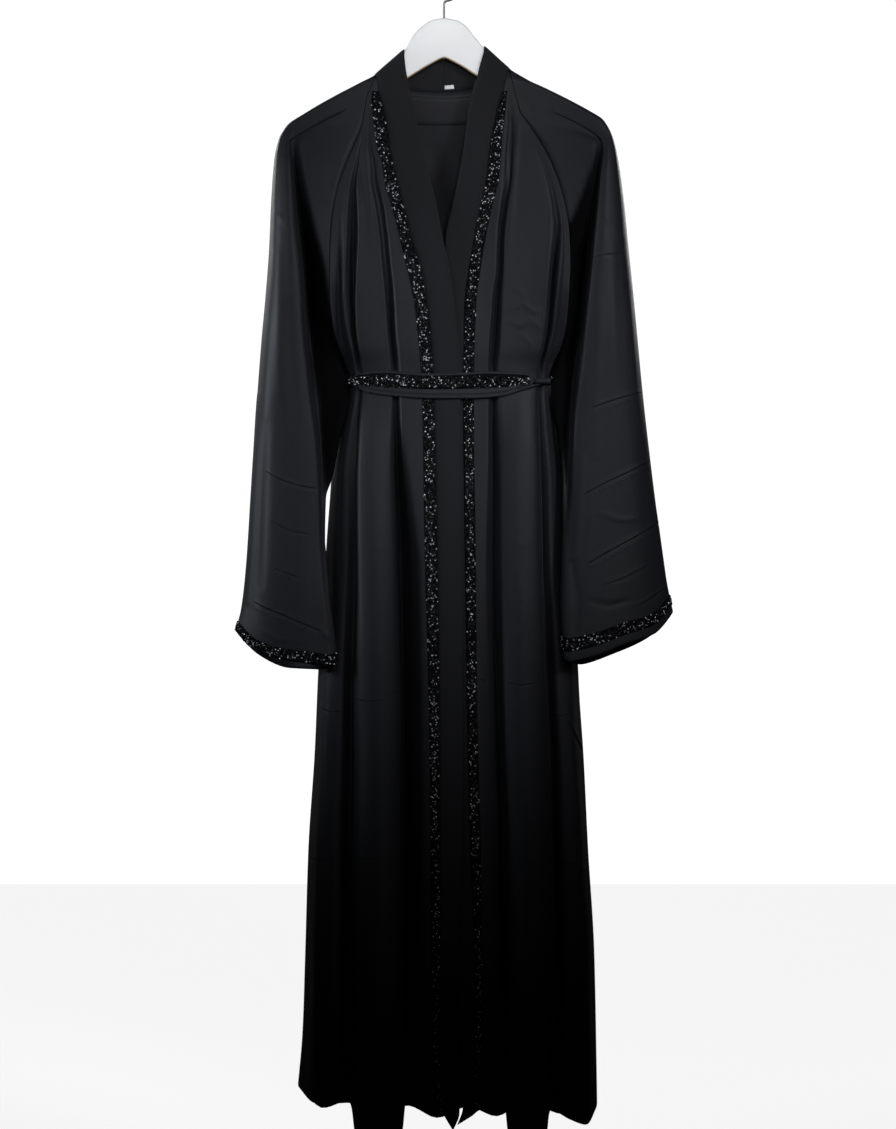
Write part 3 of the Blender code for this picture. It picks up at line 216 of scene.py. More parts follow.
# Back: soft folds as (share across, mm at chest, waist, knee, hem)
backFolds = [(0.00, 0, 0, 0, 0), (0.07, 2, 0, 6, 9), (0.14, -5, 0, -14, -20), (0.24, 3, 0, 9, 13),
              (0.34, -3, 0, -12, -19), (0.43, 3, 0, 8, 12), (0.53, -2, 0, -11, -16), (0.62, 3, 0, 9, 13),
              (0.73, -3, 0, -13, -20), (0.84, 3, 0, 8, 12), (0.93, -4, 0, -8, -12), (1.00, 0, 0, 0, 0)]
backFoldRows = [110, 200, 300, 378, 398, 575, 800, 1100]
backHem = [(0.0, 1086), (0.08, 1112), (0.16, 1104), (0.26, 1122), (0.36, 1110), (0.46, 1124), (0.56, 1112),
            (0.66, 1122), (0.76, 1106), (0.88, 1118), (1.0, 1106)]
neckDip = 17.0


# Sleeves: rows are heights at the under-sleeve seam; the cuff line bends to its own heights
sleeveLow = {"left": [379, 400, 440, 478, 498, 535, 590, 632, 650, 662],
              "right": [379, 400, 440, 480, 520, 560, 600, 631, 645, 655]}
rightBandBehind = 4.0    # the right band passes this far behind the left one, mm
sleeveLines = ["seam", "wedge", "recess", "fold", "front_in", "front_mid", "front_out", "outer",
                "back_out", "back_mid", "back_in", "seam_back"]
cuffFrom = 366.0
sleeves = {
    "left": {
        "cuff": 662.0,
        "seamLow": [(366, 346.4), (370, 348.0), (374, 348.7), (379, 348.7), (386, 349.0), (400, 348.9),
                    (440, 340), (478, 332.6), (498, 326.4), (540, 325.6),
                     (560, 327.6), (600, 331), (632, 335.2), (662, 338.5)],
        "wedge": [(77, 374.9), (82, 371.8), (90, 367), (100, 361), (112, 350), (125, 330), (145, 304),
                  (170, 306), (200, 312), (235, 318.5), (270, 326), (305, 328.2), (340, 331.5), (366, 338.5),
                  (400, 344.5), (440, 337), (478, 330.8), (498, 325.4), (535, 324.6), (560, 326.6), (600, 330),
                  (662, 337.4)],
        "recess": [(77, 374.7), (82, 370.6), (90, 364), (100, 355), (112, 340), (125, 312), (145, 293),
                   (170, 295.5), (200, 298.5), (235, 302), (270, 305), (305, 307), (340, 309.5), (366, 313),
                   (400, 316.5), (440, 320.6), (478, 322.4), (498,
                                                              322), (535, 322.4), (560, 324.2), (600, 327.6),
                   (662, 335)],
        "fold": [(77, 374.5), (82, 369.2), (90, 361), (100, 349), (112, 328), (125, 300), (142, 288.5),
                 (170, 290.5), (212, 294), (277, 300), (331, 303), (366, 306.5), (398, 310), (440, 315.5),
                 (460, 317), (500, 319), (540, 320), (600, 324), (662, 331.5)],
        "outer": [(77, 374.2), (82, 363), (90, 347), (100, 328.5), (112, 307.5), (125, 288), (130, 284.3),
                  (140, 279), (160, 274.6), (200, 271.6), (250, 269.6), (300, 265.6), (340, 261.6),
                  (420, 255.6), (500, 250.6), (580, 245.6), (610, 242), (630, 236.8)],
        "hem": [662, 663, 665, 666, 663, 659, 649, 631, 654, 668, 669, 662],
    },
    "right": {
        "cuff": 655.0,
        "seamLow": [(366, 552.1), (370, 550.9), (374, 550.9), (379, 551.6), (386, 551.2), (400, 551.4),
                    (440, 557.4), (480, 562), (520, 562), (560, 561),
                     (600, 560), (632, 560.6), (655, 562.2)],
        "wedge": [(71, 509.7), (79, 513), (90, 517.5), (100, 523.5), (112, 532), (125, 556), (145, 592.6),
                  (170, 591.4), (200, 588), (235, 581.5), (264, 573), (290, 572), (325, 569), (340, 567.8),
                  (366, 560), (400, 556), (440, 560.4), (480, 563.6), (520, 563.2), (560, 562), (600, 561),
                  (662, 563.2)],
        "recess": [(71, 509.9), (79, 514.6), (90, 522), (100, 531), (112, 545), (125, 576), (145, 600.5),
                   (170, 598), (200, 594), (235, 590), (270, 586.5), (305, 583), (340, 579.5), (366, 575.5),
                   (400, 572), (440, 569.4), (480, 567.4), (520, 566), (560, 564.4), (600, 563.4),
                   (662, 565.6)],
        "fold": [(71, 510.1), (79, 516.5), (90, 527), (100, 540), (112, 558), (125, 592), (149, 604.5),
                 (175, 601.5), (226, 596.3), (277, 591.3), (328, 586.3), (366, 582.3), (417, 576),
                 (458, 573.4), (500, 571.4), (540, 569.4), (600, 567.6), (662, 569.8)],
        "outer": [(71, 510.4), (79, 524), (90, 547.5), (100, 568.5), (112, 590.5), (120, 602.5), (125, 606),
                  (130, 609), (140, 613), (160, 617.6), (200, 623.2), (250, 628.2), (300, 633.4),
                  (340, 637.4), (420, 645.4), (500, 654.4), (580, 666.4), (600, 670.4), (620, 675)],
        "hem": [655, 658, 660, 661, 656, 644, 633, 612, 636, 653, 664, 655],
    },
}
# share of the way from the fold, or from the seam, out to the sleeve's edge
sleeveShare = {"front_in": 0.22, "front_mid": 0.52, "front_out": 0.82,
                "back_out": 0.80, "back_mid": 0.48, "back_in": 0.16}
sleeveDepthRows = [71, 90, 112, 125, 170, 235, 305, 366, 440, 520, 600, 662]
sleeveDepths = {
    "wedge":     [-9, -9, -9, -10, -24, -34, -30, -4, -2.6, -2.6, -2.6, -2.6],
    "recess":    [-9, -9, -9, -9.5, -8, 4, 8, 3, 5, -6, -6, -6],
    "fold":      [-9, -9, -9, -10, -26, -37, -42, -44, -45, -48, -57, -62],
    "front_in":  [-9, -9, -9, -10, -27, -41, -46, -48, -49, -52, -58, -63],
    "front_mid": [-9, -9, -9, -9.5, -24, -37, -43, -46, -46, -47, -51, -54],
    "front_out": [-6, -8.3, -8.6, -8.6, -17, -26, -31, -34, -34, -33, -34, -35],
    "outer":     [0, 0, 0, 0, 0, 0, 0, 0, 0, -2, -6, -10],
    "back_out":  [6, 8.3, 8.6, 9, 16, 24, 27, 28, 27, 22, 14, 8],
    "back_mid":  [9, 9, 9, 10, 23, 34, 38, 38, 33, 22, 6, -6],
    "back_in":   [9, 9, 9.5, 11, 22, 33, 36, 28, 14, -8, -28, -38],
}
# the seam under the sleeve drifts forward, so that the cuffs hang before the skirt
underSeamDepths = {"left": [(366, 0), (370, -3), (374, -9), (379, -16), (400, -20), (440, -22), (480, -27),
                            (500, -31), (520, -36),
                             (560, -42), (600, -48), (662, -54)],
                    "right": [(366, 0), (370, -3), (374, -9), (379, -16), (400, -20), (440, -24),
                              (480, -31), (520, -38), (560, -44),
                              (600, -49), (662, -54)]}


bandFree = {
    "left": [(77, 404.5, 56), (82, 405.3, 65), (90, 407.3, 79), (100, 410, 91), (112, 413.6, 107),
             (125, 417, 124), (145, 423, 146), (175, 429, 175), (200, 435, 199), (235, 442, 235),
             (246, 444, 246), (255, 446.5, 255), (296, 453, 296), (338, 457.6, 338), (366, 460.2, 366),
             (402, 460.6, 402), (500, 461.6, 500), (700, 462, 700), (850, 461, 850), (880, 459, 880),
             (943, 457, 943), (983, 454.5, 983), (1007, 456, 1007), (1039, 458.6, 1039), (1086, 459.5, 1086),
             (1100, 453, 1100)],
    "right": [(71, 483.6, 53), (82, 480.3, 64), (90, 477, 78), (100, 472.6, 91), (112, 468.6, 109),
              (125, 466.4, 127), (145, 464, 146), (159, 462, 159), (186, 457, 186), (209, 452, 209),
              (237, 446, 237), (262, 444.4, 262), (300, 443.4, 300), (373, 442.6, 373), (560, 443.6, 560),
              (700, 445, 700), (850, 447, 850), (950, 451, 950), (1020, 457, 1020), (1060, 461.5, 1060),
              (1086, 462.5, 1086), (1100, 457, 1100)],
}
bandHem = {"left": (1107, 1124), "right": (1110, 1119)}
bandPeak = {"left": (404.4, 49.2), "right": (483.8, 46.2)}
bandBackTop = (443.0, 58.0)
# how far the band's free edge lies before (-) or behind (+) its seam, mm
bandLean = {"left": [(71, 0), (110, 0), (160, 2), (218, 0), (280, -3.5), (350, -3.0), (1100, -3.0)],
             "right": [(71, 0), (110, 0), (160, 3), (205, 3), (240, 1), (300, 0.5), (1100, 0.5)]}


woodTop = [(294, 123.4), (303, 117.8), (322, 107.2), (350, 92.8), (375, 80), (387, 70.6), (396, 61.8),
            (402, 55), (406.4, 48.4), (413, 35.5), (421, 27), (431, 20.4), (444, 18), (458, 20.6), (467, 27),
            (475, 37.8), (480, 43.4), (484.6, 49), (492, 59), (499, 66.6), (507, 72.6), (512, 75),
            (528, 83.4), (550, 93.8), (571, 104.2), (588, 114.2), (595.6, 120)]
woodLow = [(598.4, 123.6), (598.8, 127.2), (595, 129.8), (585, 126), (550, 109.5), (520, 96), (500, 86.6),
            (477, 76.5), (461, 66), (444, 57.4), (426, 67), (407, 79), (375, 94), (350, 107), (322, 121),
            (304, 130.2), (298, 131.4), (293.4, 129.4), (292.4, 126)]


beltTop = [(348, 379.4), (353, 377.6), (363, 374), (386, 372), (426, 375), (463, 374), (486, 372.6),
            (519, 374), (552, 377.6)]
beltLow = [(348, 384.4), (353, 386), (363, 391.7), (386, 396.7), (436, 400), (469, 400), (502, 397.5),
            (519, 392.5), (552, 385)]
beltTrimTop = [(348, 378), (353, 377.4), (380, 376.6), (450, 377), (529, 378)]
beltTrimLow = [(348, 384), (353, 386), (380, 389), (450, 390.5), (529, 387)]


def bend(rows, hem):
    rows = np.asarray(rows, float)
    return np.where(rows <= lowRow, rows, lowRow + (rows - lowRow) / (hemRow - lowRow) * (hem - lowRow))


def frontDepth(side, rows):
    depth = along(frontDepths, rows)
    if side == "right":
        depth = depth - along([(71, 0), (180, 0), (240, rightBandBehind), (1100, rightBandBehind)], rows)
    return depth


def panelRows(side):
    return np.array([sides[side]["top"]] + armRows + skirtRows)


def frontMiddle(side, rows, columns):
    spec = sides[side]
    inner = along(spec["bandEdge"], rows)
    trim = along(spec["trimEdge"], rows)
    outer = along(spec["seam"], rows)
    depth = frontDepth(side, rows)
    edge = along(seamDepths, rows)
    room = np.minimum(1.0, np.abs(outer - inner) / 18.0) ** 2
    fullness = along([(71, 0), (300, 0), (378, 1), (1100, 1)], rows)
    across = [inner, trim]
    deep = [-depth, -depth]
    for name in foldLines:
        share = smooth(lineRows, spec["share"][name], rows)
        off = smooth(lineRows, spec["offset"][name], rows)
        x = trim + (outer - trim) * share
        part = np.minimum(1.0, np.abs(x - inner) / np.maximum(np.abs(outer - inner), 1e-6))
        flat = 1 - part**2
        full = np.sqrt(np.maximum(0.0, 1 - part**2.6))
        plain = edge + (depth - edge) * (flat + (full - flat) * fullness)
        across.append(x)
        deep.append(-plain + off * room)
    across.append(outer)
    deep.append(-edge)
    heights = np.array([bend(rows, hem) for hem in spec["hem"]])
    knots = np.arange(11)
    made = place(smooth(knots, np.array(across), columns), smooth(knots, np.array(deep), columns),
                 smooth(knots, heights, columns))
    return made.transpose(1, 0, 2)


def sidePoints(side):
    spec = sides[side]
    rows = panelRows(side)
    return place(along(spec["seam"], rows), along(seamDepths, rows), bend(rows, spec["hem"][-1]))


def backMiddle(count):
    left, right = sidePoints("left"), sidePoints("right")
    s = np.linspace(0, 1, count + 1)[None, :]
    rows = panelRows("left")[:, None] * (1 - s) + panelRows("right")[:, None] * s
    dip = neckDip * (4 * s * (1 - s)) ** 0.8 * np.maximum(0.0, 1 - (rows - 74) / 140) ** 1.5
    real = rows + dip
    x = left[:, :1] * (1 - s) + right[:, :1] * s
    edge = along(seamDepths, rows)
    depth = along(backDepths, real)
    y = edge + (depth - edge) * np.sqrt(np.maximum(0.0, 1 - np.abs(2 * s - 1) ** 2.6))
    y = np.where(rows < 100, np.maximum(y, 9.0), y)
    shares = [f[0] for f in backFolds]
    for j in range(count + 1):
        amounts = [smooth(backFoldRows, [0, 0.6 * chest, chest, waist, waist, 0.75 * knee, knee, hem],
                          rows[:, j])
                   for share, chest, waist, knee, hem in backFolds]
        y[:, j] += smooth(shares, np.array(amounts), s[0, j])[0]
    hem = smooth([h[0] for h in backHem], [h[1] for h in backHem], s[0])[None, :]
    real = np.where(rows > lowRow, bend(rows, hem), real)
    made = place(x / grid + hookColumn, y, real)
    made[:, 0] = left
    made[:, -1] = right
    return made


def sleeveMiddle(side, rows, columns):
    spec = sleeves[side]
    upper = rows <= underarm
    sideSeam = along(sides[side]["seam"], rows)
    lowSeam = along(spec["seamLow"], rows)
    shift = spec["seamLow"][0][1] - float(along(sides[side]["seam"], underarm)[0])
    ease = np.clip((rows - 350) / (underarm - 350), 0, 1)
    seam = np.where(upper, sideSeam + shift * ease**2 * (3 - 2 * ease), lowSeam)
    under = along(underSeamDepths[side], rows)
    ends = (np.where(upper, -along(seamDepths, rows), under), np.where(upper, along(seamDepths, rows), under))
    weight = np.maximum(0.0, (rows - cuffFrom) / (spec["cuff"] - cuffFrom)) ** 1.6
    heights = np.array([rows + weight * (hem - spec["cuff"]) for hem in spec["hem"]])
    outer = along(spec["outer"], heights[7])
    fold = along(spec["fold"], rows)
    across = [seam, along(spec["wedge"], rows), along(spec["recess"], rows), fold]
    for name in ["front_in", "front_mid", "front_out"]:
        across.append(fold + (outer - fold) * sleeveShare[name])
    across.append(outer)
    for name in ["back_out", "back_mid", "back_in"]:
        share = sleeveShare[name]
        if name == "back_out":
            share = along([(71, 0.93), (125, 0.93), (200, share), (662, share)], rows)
        across.append(seam + (outer - seam) * share)
    across.append(seam)
    deep = [ends[0]]
    for name in sleeveLines[1:-1]:
        depth = smooth(sleeveDepthRows, sleeveDepths[name], rows)
        if name in ("wedge", "recess"):
            drift = np.clip((rows - 325) / (430 - 325), 0, 1)
            depth = depth + along(underSeamDepths[side], np.maximum(rows, 430)) * drift**2 * (3 - 2 * drift)
        deep.append(depth)
    deep.append(ends[1])
    knots = np.arange(12)
    made = place(smooth(knots, np.array(across), columns), smooth(knots, np.array(deep), columns),
                 smooth(knots, heights, columns))
    return made.transpose(1, 0, 2)


def neckArc(side, t):
    spec = sides[side]
    row = spec["top"]
    x = float(along(spec["seam"], row)[0]) + spec["sign"] * 1.2 * np.sin(np.pi * t)
    return place(x, -9.0 * np.cos(np.pi * t), row - 1.2 * np.sin(np.pi * t))


def bandMiddle(side, back, columns):
    spec = sides[side]
    free = np.array(bandFree[side], float)
    rows = panelRows(side)[::-1]
    seam = place(along(spec["bandEdge"], rows), -frontDepth(side, rows), bend(rows, spec["hem"][0]))
    freeRow = smooth(free[:, 0], free[:, 2], rows)
    freeRow = np.where(rows > lowRow, bend(rows, bandHem[side][1]), freeRow)
    edge = place(smooth(free[:, 0], free[:, 1], rows), -frontDepth(side,
                                                                   rows) + along(bandLean[side], rows), freeRow)
    t = np.arange(1, fine["arc"] + 1) / fine["arc"]
    later = 0.14 + 0.86 * t
    lift = np.maximum(0.0, np.sin(np.pi * later)) ** 0.6
    peak = bandPeak[side]
    arcSeam = neckArc(side, t)
    arcEdge = place(free[0, 1] * (1 - lift) + peak[0] * lift, -9.0 * np.cos(np.pi * later),
                    free[0, 2] * (1 - lift) + peak[1] * lift)
    half = (back.shape[1] - 1) // 2
    picks = list(range(1, half + 1)) if side == "left" else list(range(back.shape[1] - 2, half - 1, -1))
    t = (np.arange(len(picks)) + 1) / len(picks)
    backSeam = back[0, picks]
    backEdge = place(free[0, 1] * (1 - t) + bandBackTop[0] * t, 9.0 + 2.0 * t,
                     free[0, 2] * (1 - t) + bandBackTop[1] * t)
    seams = np.concatenate([seam, arcSeam, backSeam])[:, None]
    edges = np.concatenate([edge, arcEdge, backEdge])[:, None]
    share = np.linspace(0, 1, columns + 1)[None, :, None]
    return seams * (1 - share) + edges * share


def runAlong(points, axis):
    step = np.diff(points, axis=axis)
    step /= np.maximum(np.linalg.norm(step, axis=2, keepdims=True), 1e-12)
    first = step[:1] if axis == 0 else step[:, :1]
    last = step[-1:] if axis == 0 else step[:, -1:]
    mean = np.concatenate([first, step], axis=axis) + np.concatenate([step, last], axis=axis)
    return mean / np.maximum(np.linalg.norm(mean, axis=2, keepdims=True), 1e-12)


def facing(points, sign):
    normal = np.cross(runAlong(points, 1), runAlong(points, 0))
    return sign * normal / np.maximum(np.linalg.norm(normal, axis=2, keepdims=True), 1e-12)


def edgeOf(shape, name):
    rows, columns = shape
    return {"firstColumn": [(i, 0) for i in range(rows)], "lastColumn": [(i, columns - 1) for i in range(rows)],
            "firstRow": [(0, j) for j in range(columns)], "lastRow": [(rows - 1,
                                                                       j) for j in range(columns)]}[name]


def shareNormals(pieces):
    sums = {}
    for piece in pieces.values():
        for name in piece["sewn"]:
            for place2 in edgeOf(piece["points"].shape[:2], name):
                key = tuple(np.round(piece["points"][place2] * 1e5).astype(int))
                sums[key] = sums.get(key, 0) + piece["normal"][place2]
    for piece in pieces.values():
        for name in piece["sewn"]:
            for place2 in edgeOf(piece["points"].shape[:2], name):
                total = sums[tuple(np.round(piece["points"][place2] * 1e5).astype(int))]
                piece["normal"][place2] = total / max(np.linalg.norm(total), 1e-12)


def edgeDistance(points, names):
    best = np.full(points.shape[:2], 1.0)
    for axis in (0, 1):
        step = np.linalg.norm(np.diff(points, axis=axis), axis=2)
        zero = np.zeros((1, points.shape[1])) if axis == 0 else np.zeros((points.shape[0], 1))
        run = np.concatenate([zero, np.cumsum(step, axis=axis)], axis=axis)
        total = run[-1:] if axis == 0 else run[:, -1:]
        if ("firstRow" if axis == 0 else "firstColumn") in names:
            best = np.minimum(best, run)
        if ("lastRow" if axis == 0 else "lastColumn") in names:
            best = np.minimum(best, total - run)
    return best


# Creases on each piece, listed one by one: path in (across, row), half width and height in mm, kind
# A ridge stands out, a groove goes in, a step stands out on its left side and goes in on its right.
creases = {
    "front_left": [
        {"path": [(374, 196), (380, 245), (384, 290), (388, 345), (390, 371)], "width": 1.3, "height": 0.7,
         "kind": "ridge"},
        {"path": [(344, 262), (346, 300), (350, 340), (356, 371)], "width": 1.3, "height": 0.6,
         "kind": "ridge"},
        {"path": [(331, 300), (334, 330), (342, 357), (350, 372)], "width": 1.3, "height": 0.6,
         "kind": "ridge"},
        {"path": [(362, 388), (359, 420), (358, 480), (358, 620)], "width": 1.2, "height": 1.6,
         "kind": "groove"},
        {"path": [(400, 298), (401, 335), (402, 370)], "width": 1.4, "height": 0.7, "kind": "ridge"},
        {"path": [(371, 100), (374, 140), (379, 185), (384, 224)], "width": 5.0, "height": 2.2,
         "kind": "groove"},
        {"path": [(366, 120), (366, 160), (370, 205), (373, 240)], "width": 4.0, "height": 1.2,
         "kind": "ridge"},
        {"path": [(378, 258), (396, 252), (408, 249)], "width": 2.2, "height": 0.6, "kind": "ridge"},
        {"path": [(381, 306), (398, 301), (411, 303)], "width": 2.4, "height": 0.5, "kind": "ridge"},
        {"path": [(320, 706), (332, 711), (345, 710)], "width": 1.9, "height": 0.9, "kind": "step"},
        {"path": [(356, 697), (370, 700), (384, 698)], "width": 1.9, "height": 0.9, "kind": "step"},
        {"path": [(386, 692), (402, 689), (420, 692)], "width": 2.0, "height": 0.5, "kind": "step"},
        {"path": [(311, 856), (321, 859), (333, 857)], "width": 1.9, "height": 0.8, "kind": "step"},
        {"path": [(357, 853), (369, 856), (381, 853)], "width": 1.9, "height": 0.8, "kind": "step"},
        {"path": [(368, 640), (382, 655), (390, 675)], "width": 3.0, "height": 0.6, "kind": "ridge"},
        {"path": [(362, 540), (378, 548), (392, 545)], "width": 2.6, "height": 0.5, "kind": "ridge"},
        {"path": [(326, 742), (330, 800), (328, 838)], "width": 4.5, "height": 1.1, "kind": "ridge"},
        {"path": [(313, 900), (316, 980), (312, 1060)], "width": 5.0, "height": 1.2, "kind": "ridge"},
        {"path": [(372, 900), (376, 980), (374, 1070)], "width": 6.0, "height": 1.0, "kind": "ridge"},
    ],
    "front_right": [
        {"path": [(551, 202), (548, 262), (545, 305), (540, 345), (536, 371)], "width": 1.2, "height": 0.9,
         "kind": "ridge"},
        {"path": [(507, 205), (505, 260), (502, 320), (499, 371)], "width": 1.2, "height": 0.6,
         "kind": "ridge"},
        {"path": [(560, 262), (556, 300), (550, 335), (544, 371)], "width": 1.3, "height": 0.6,
         "kind": "ridge"},
        {"path": [(538, 388), (540, 440), (542, 520), (543, 600)], "width": 1.2, "height": 1.6,
         "kind": "groove"},
        {"path": [(502, 400), (504, 480), (505, 560), (505, 640)], "width": 1.3, "height": 0.8,
         "kind": "ridge"},
        {"path": [(512, 104), (508, 150), (505, 188), (501, 232)], "width": 4.0, "height": 2.6,
         "kind": "groove"},
        {"path": [(519, 118), (515, 160), (512, 200), (509, 250)], "width": 3.6, "height": 1.2,
         "kind": "ridge"},
        {"path": [(511, 312), (522, 305), (534, 314), (541, 311)], "width": 2.4, "height": 1.0,
         "kind": "ridge"},
        {"path": [(508, 322), (521, 327), (531, 321), (542, 331)], "width": 2.6, "height": 0.9,
         "kind": "ridge"},
        {"path": [(514, 288), (522, 295), (527, 310)], "width": 2.4, "height": 0.7, "kind": "ridge"},
        {"path": [(521, 334), (530, 345), (533, 369)], "width": 3.0, "height": 1.0, "kind": "ridge"},
        {"path": [(474, 681), (480, 678), (486, 680)], "width": 1.8, "height": 0.7, "kind": "step"},
        {"path": [(506, 681), (522, 684), (540, 680)], "width": 1.9, "height": 0.9, "kind": "step"},
        {"path": [(547, 712), (561, 715), (575, 711)], "width": 1.9, "height": 0.9, "kind": "step"},
        {"path": [(557, 859), (572, 862), (587, 858)], "width": 1.9, "height": 0.8, "kind": "step"},
        {"path": [(510, 860), (524, 862), (538, 858)], "width": 1.9, "height": 0.6, "kind": "step"},
        {"path": [(567, 718), (575, 734), (584, 753)], "width": 2.6, "height": 1.4, "kind": "step"},
        {"path": [(512, 540), (524, 546), (533, 538)], "width": 2.6, "height": 0.5, "kind": "ridge"},
        {"path": [(516, 570), (522, 600), (519, 640)], "width": 5.0, "height": 0.8, "kind": "ridge"},
        {"path": [(576, 780), (579, 830), (578, 870)], "width": 4.5, "height": 1.0, "kind": "ridge"},
        {"path": [(588, 900), (585, 990), (590, 1070)], "width": 5.0, "height": 1.2, "kind": "ridge"},
        {"path": [(524, 900), (520, 990), (526, 1080)], "width": 6.0, "height": 1.0, "kind": "ridge"},
    ],
    "sleeve_left": [
        {"path": [(288, 142), (306, 131), (326, 120), (346, 110)], "width": 2.6, "height": 0.9, "kind": "step"},
        {"path": [(327, 166), (331, 184), (333, 200)], "width": 3.0, "height": 1.1, "kind": "groove"},
        {"path": [(321, 150), (323, 172), (324, 196)], "width": 3.4, "height": 0.7, "kind": "ridge"},
        {"path": [(266, 471), (282, 480), (300, 486), (318, 489)], "width": 2.4, "height": 1.1, "kind": "step"},
        {"path": [(255, 601), (268, 608), (286, 615), (304, 623), (322, 630)], "width": 2.4, "height": 1.5,
         "kind": "step"},
        {"path": [(322, 628), (327, 634), (330, 640)], "width": 2.0, "height": 0.9, "kind": "ridge"},
        {"path": [(276, 568), (286, 572), (300, 577)], "width": 2.2, "height": 0.7, "kind": "step"},
        {"path": [(281, 577), (290, 573), (299, 569)], "width": 2.0, "height": 0.5, "kind": "ridge"},
        {"path": [(259, 392), (257, 470), (253, 560), (250, 606)], "width": 3.4, "height": 1.5,
         "kind": "ridge"},
        {"path": [(268, 420), (266, 500), (263, 590)], "width": 4.0, "height": 1.3, "kind": "groove"},
        {"path": [(279, 250), (281, 320), (280, 400)], "width": 7.0, "height": 0.9, "kind": "ridge"},
        {"path": [(291, 300), (293, 360), (296, 430)], "width": 6.0, "height": 0.9, "kind": "groove"},
        {"path": [(271, 520), (291, 531), (311, 534)], "width": 3.0, "height": 0.6, "kind": "step"},
        {"path": [(262, 628), (282, 640), (306, 643)], "width": 3.0, "height": 0.7, "kind": "ridge"},
        {"path": [(279, 645), (293, 641), (306, 645)], "width": 1.6, "height": 0.8, "kind": "groove"},
        {"path": [(275, 214), (287, 224), (296, 238)], "width": 3.6, "height": 0.5, "kind": "ridge"},
    ],
    "sleeve_right": [
        {"path": [(552, 112), (572, 121), (590, 131), (603, 141)], "width": 2.6, "height": 0.8, "kind": "step"},
        {"path": [(592, 259), (606, 256), (622, 254)], "width": 2.0, "height": 0.6, "kind": "step"},
        {"path": [(590, 409), (606, 403), (622, 398), (641, 392)], "width": 2.4, "height": 1.2, "kind": "step"},
        {"path": [(583, 495), (602, 484), (624, 474), (651, 460)], "width": 2.4, "height": 1.5, "kind": "step"},
        {"path": [(586, 564), (606, 552), (632, 538), (658, 523)], "width": 2.4, "height": 1.4, "kind": "step"},
        {"path": [(598, 512), (616, 520), (636, 519)], "width": 2.8, "height": 0.7, "kind": "ridge"},
        {"path": [(602, 585), (622, 578), (645, 566)], "width": 3.0, "height": 0.7, "kind": "step"},
        {"path": [(588, 600), (606, 606), (628, 600)], "width": 3.2, "height": 1.1, "kind": "groove"},
        {"path": [(636, 606), (650, 598), (664, 588)], "width": 2.6, "height": 0.8, "kind": "step"},
        {"path": [(571, 560), (576, 600), (573, 636)], "width": 4.0, "height": 1.2, "kind": "groove"},
        {"path": [(600, 300), (597, 380), (594, 460)], "width": 6.0, "height": 1.0, "kind": "ridge"},
        {"path": [(617, 240), (619, 320), (621, 392)], "width": 7.0, "height": 0.8, "kind": "groove"},
        {"path": [(628, 300), (634, 380), (640, 440)], "width": 4.0, "height": 1.0, "kind": "ridge"},
        {"path": [(582, 455), (578, 520), (574, 560)], "width": 3.6, "height": 1.2, "kind": "ridge"},
        {"path": [(601, 214), (610, 226), (622, 233)], "width": 3.6, "height": 0.5, "kind": "ridge"},
        {"path": [(655, 500), (660, 545), (666, 590)], "width": 3.0, "height": 0.9, "kind": "ridge"},
    ],
    "back_panel": [
        {"path": [(392, 130), (394, 180), (391, 240), (396, 330)], "width": 6.0, "height": 1.2,
         "kind": "ridge"},
        {"path": [(427, 150), (424, 220), (428, 300)], "width": 7.0, "height": 1.0, "kind": "groove"},
        {"path": [(470, 145), (473, 230), (468, 320)], "width": 7.0, "height": 1.1, "kind": "ridge"},
        {"path": [(507, 150), (503, 220), (508, 310)], "width": 6.0, "height": 1.2, "kind": "groove"},
        {"path": [(348, 300), (352, 340), (360, 372)], "width": 3.6, "height": 2.2, "kind": "groove"},
        {"path": [(553, 300), (549, 340), (541, 372)], "width": 3.6, "height": 2.2, "kind": "groove"},
        {"path": [(370, 330), (374, 355), (376, 376)], "width": 4.0, "height": 1.4, "kind": "groove"},
        {"path": [(528, 332), (523, 355), (521, 376)], "width": 4.0, "height": 1.4, "kind": "groove"},
        {"path": [(330, 706), (366, 702), (410, 707)], "width": 2.0, "height": 0.9, "kind": "step"},
        {"path": [(436, 700), (486, 706), (540, 701)], "width": 2.0, "height": 0.9, "kind": "step"},
        {"path": [(318, 858), (370, 853), (420, 859)], "width": 2.0, "height": 0.8, "kind": "step"},
        {"path": [(450, 855), (510, 860), (575, 854)], "width": 2.0, "height": 0.8, "kind": "step"},
        {"path": [(360, 540), (392, 550), (425, 543)], "width": 2.6, "height": 0.6, "kind": "step"},
        {"path": [(470, 548), (510, 540), (552, 547)], "width": 2.6, "height": 0.6, "kind": "step"},
        {"path": [(380, 430), (376, 520), (371, 620)], "width": 6.0, "height": 1.0, "kind": "ridge"},
        {"path": [(518, 430), (523, 520), (530, 620)], "width": 6.0, "height": 1.0, "kind": "ridge"},
    ],
}
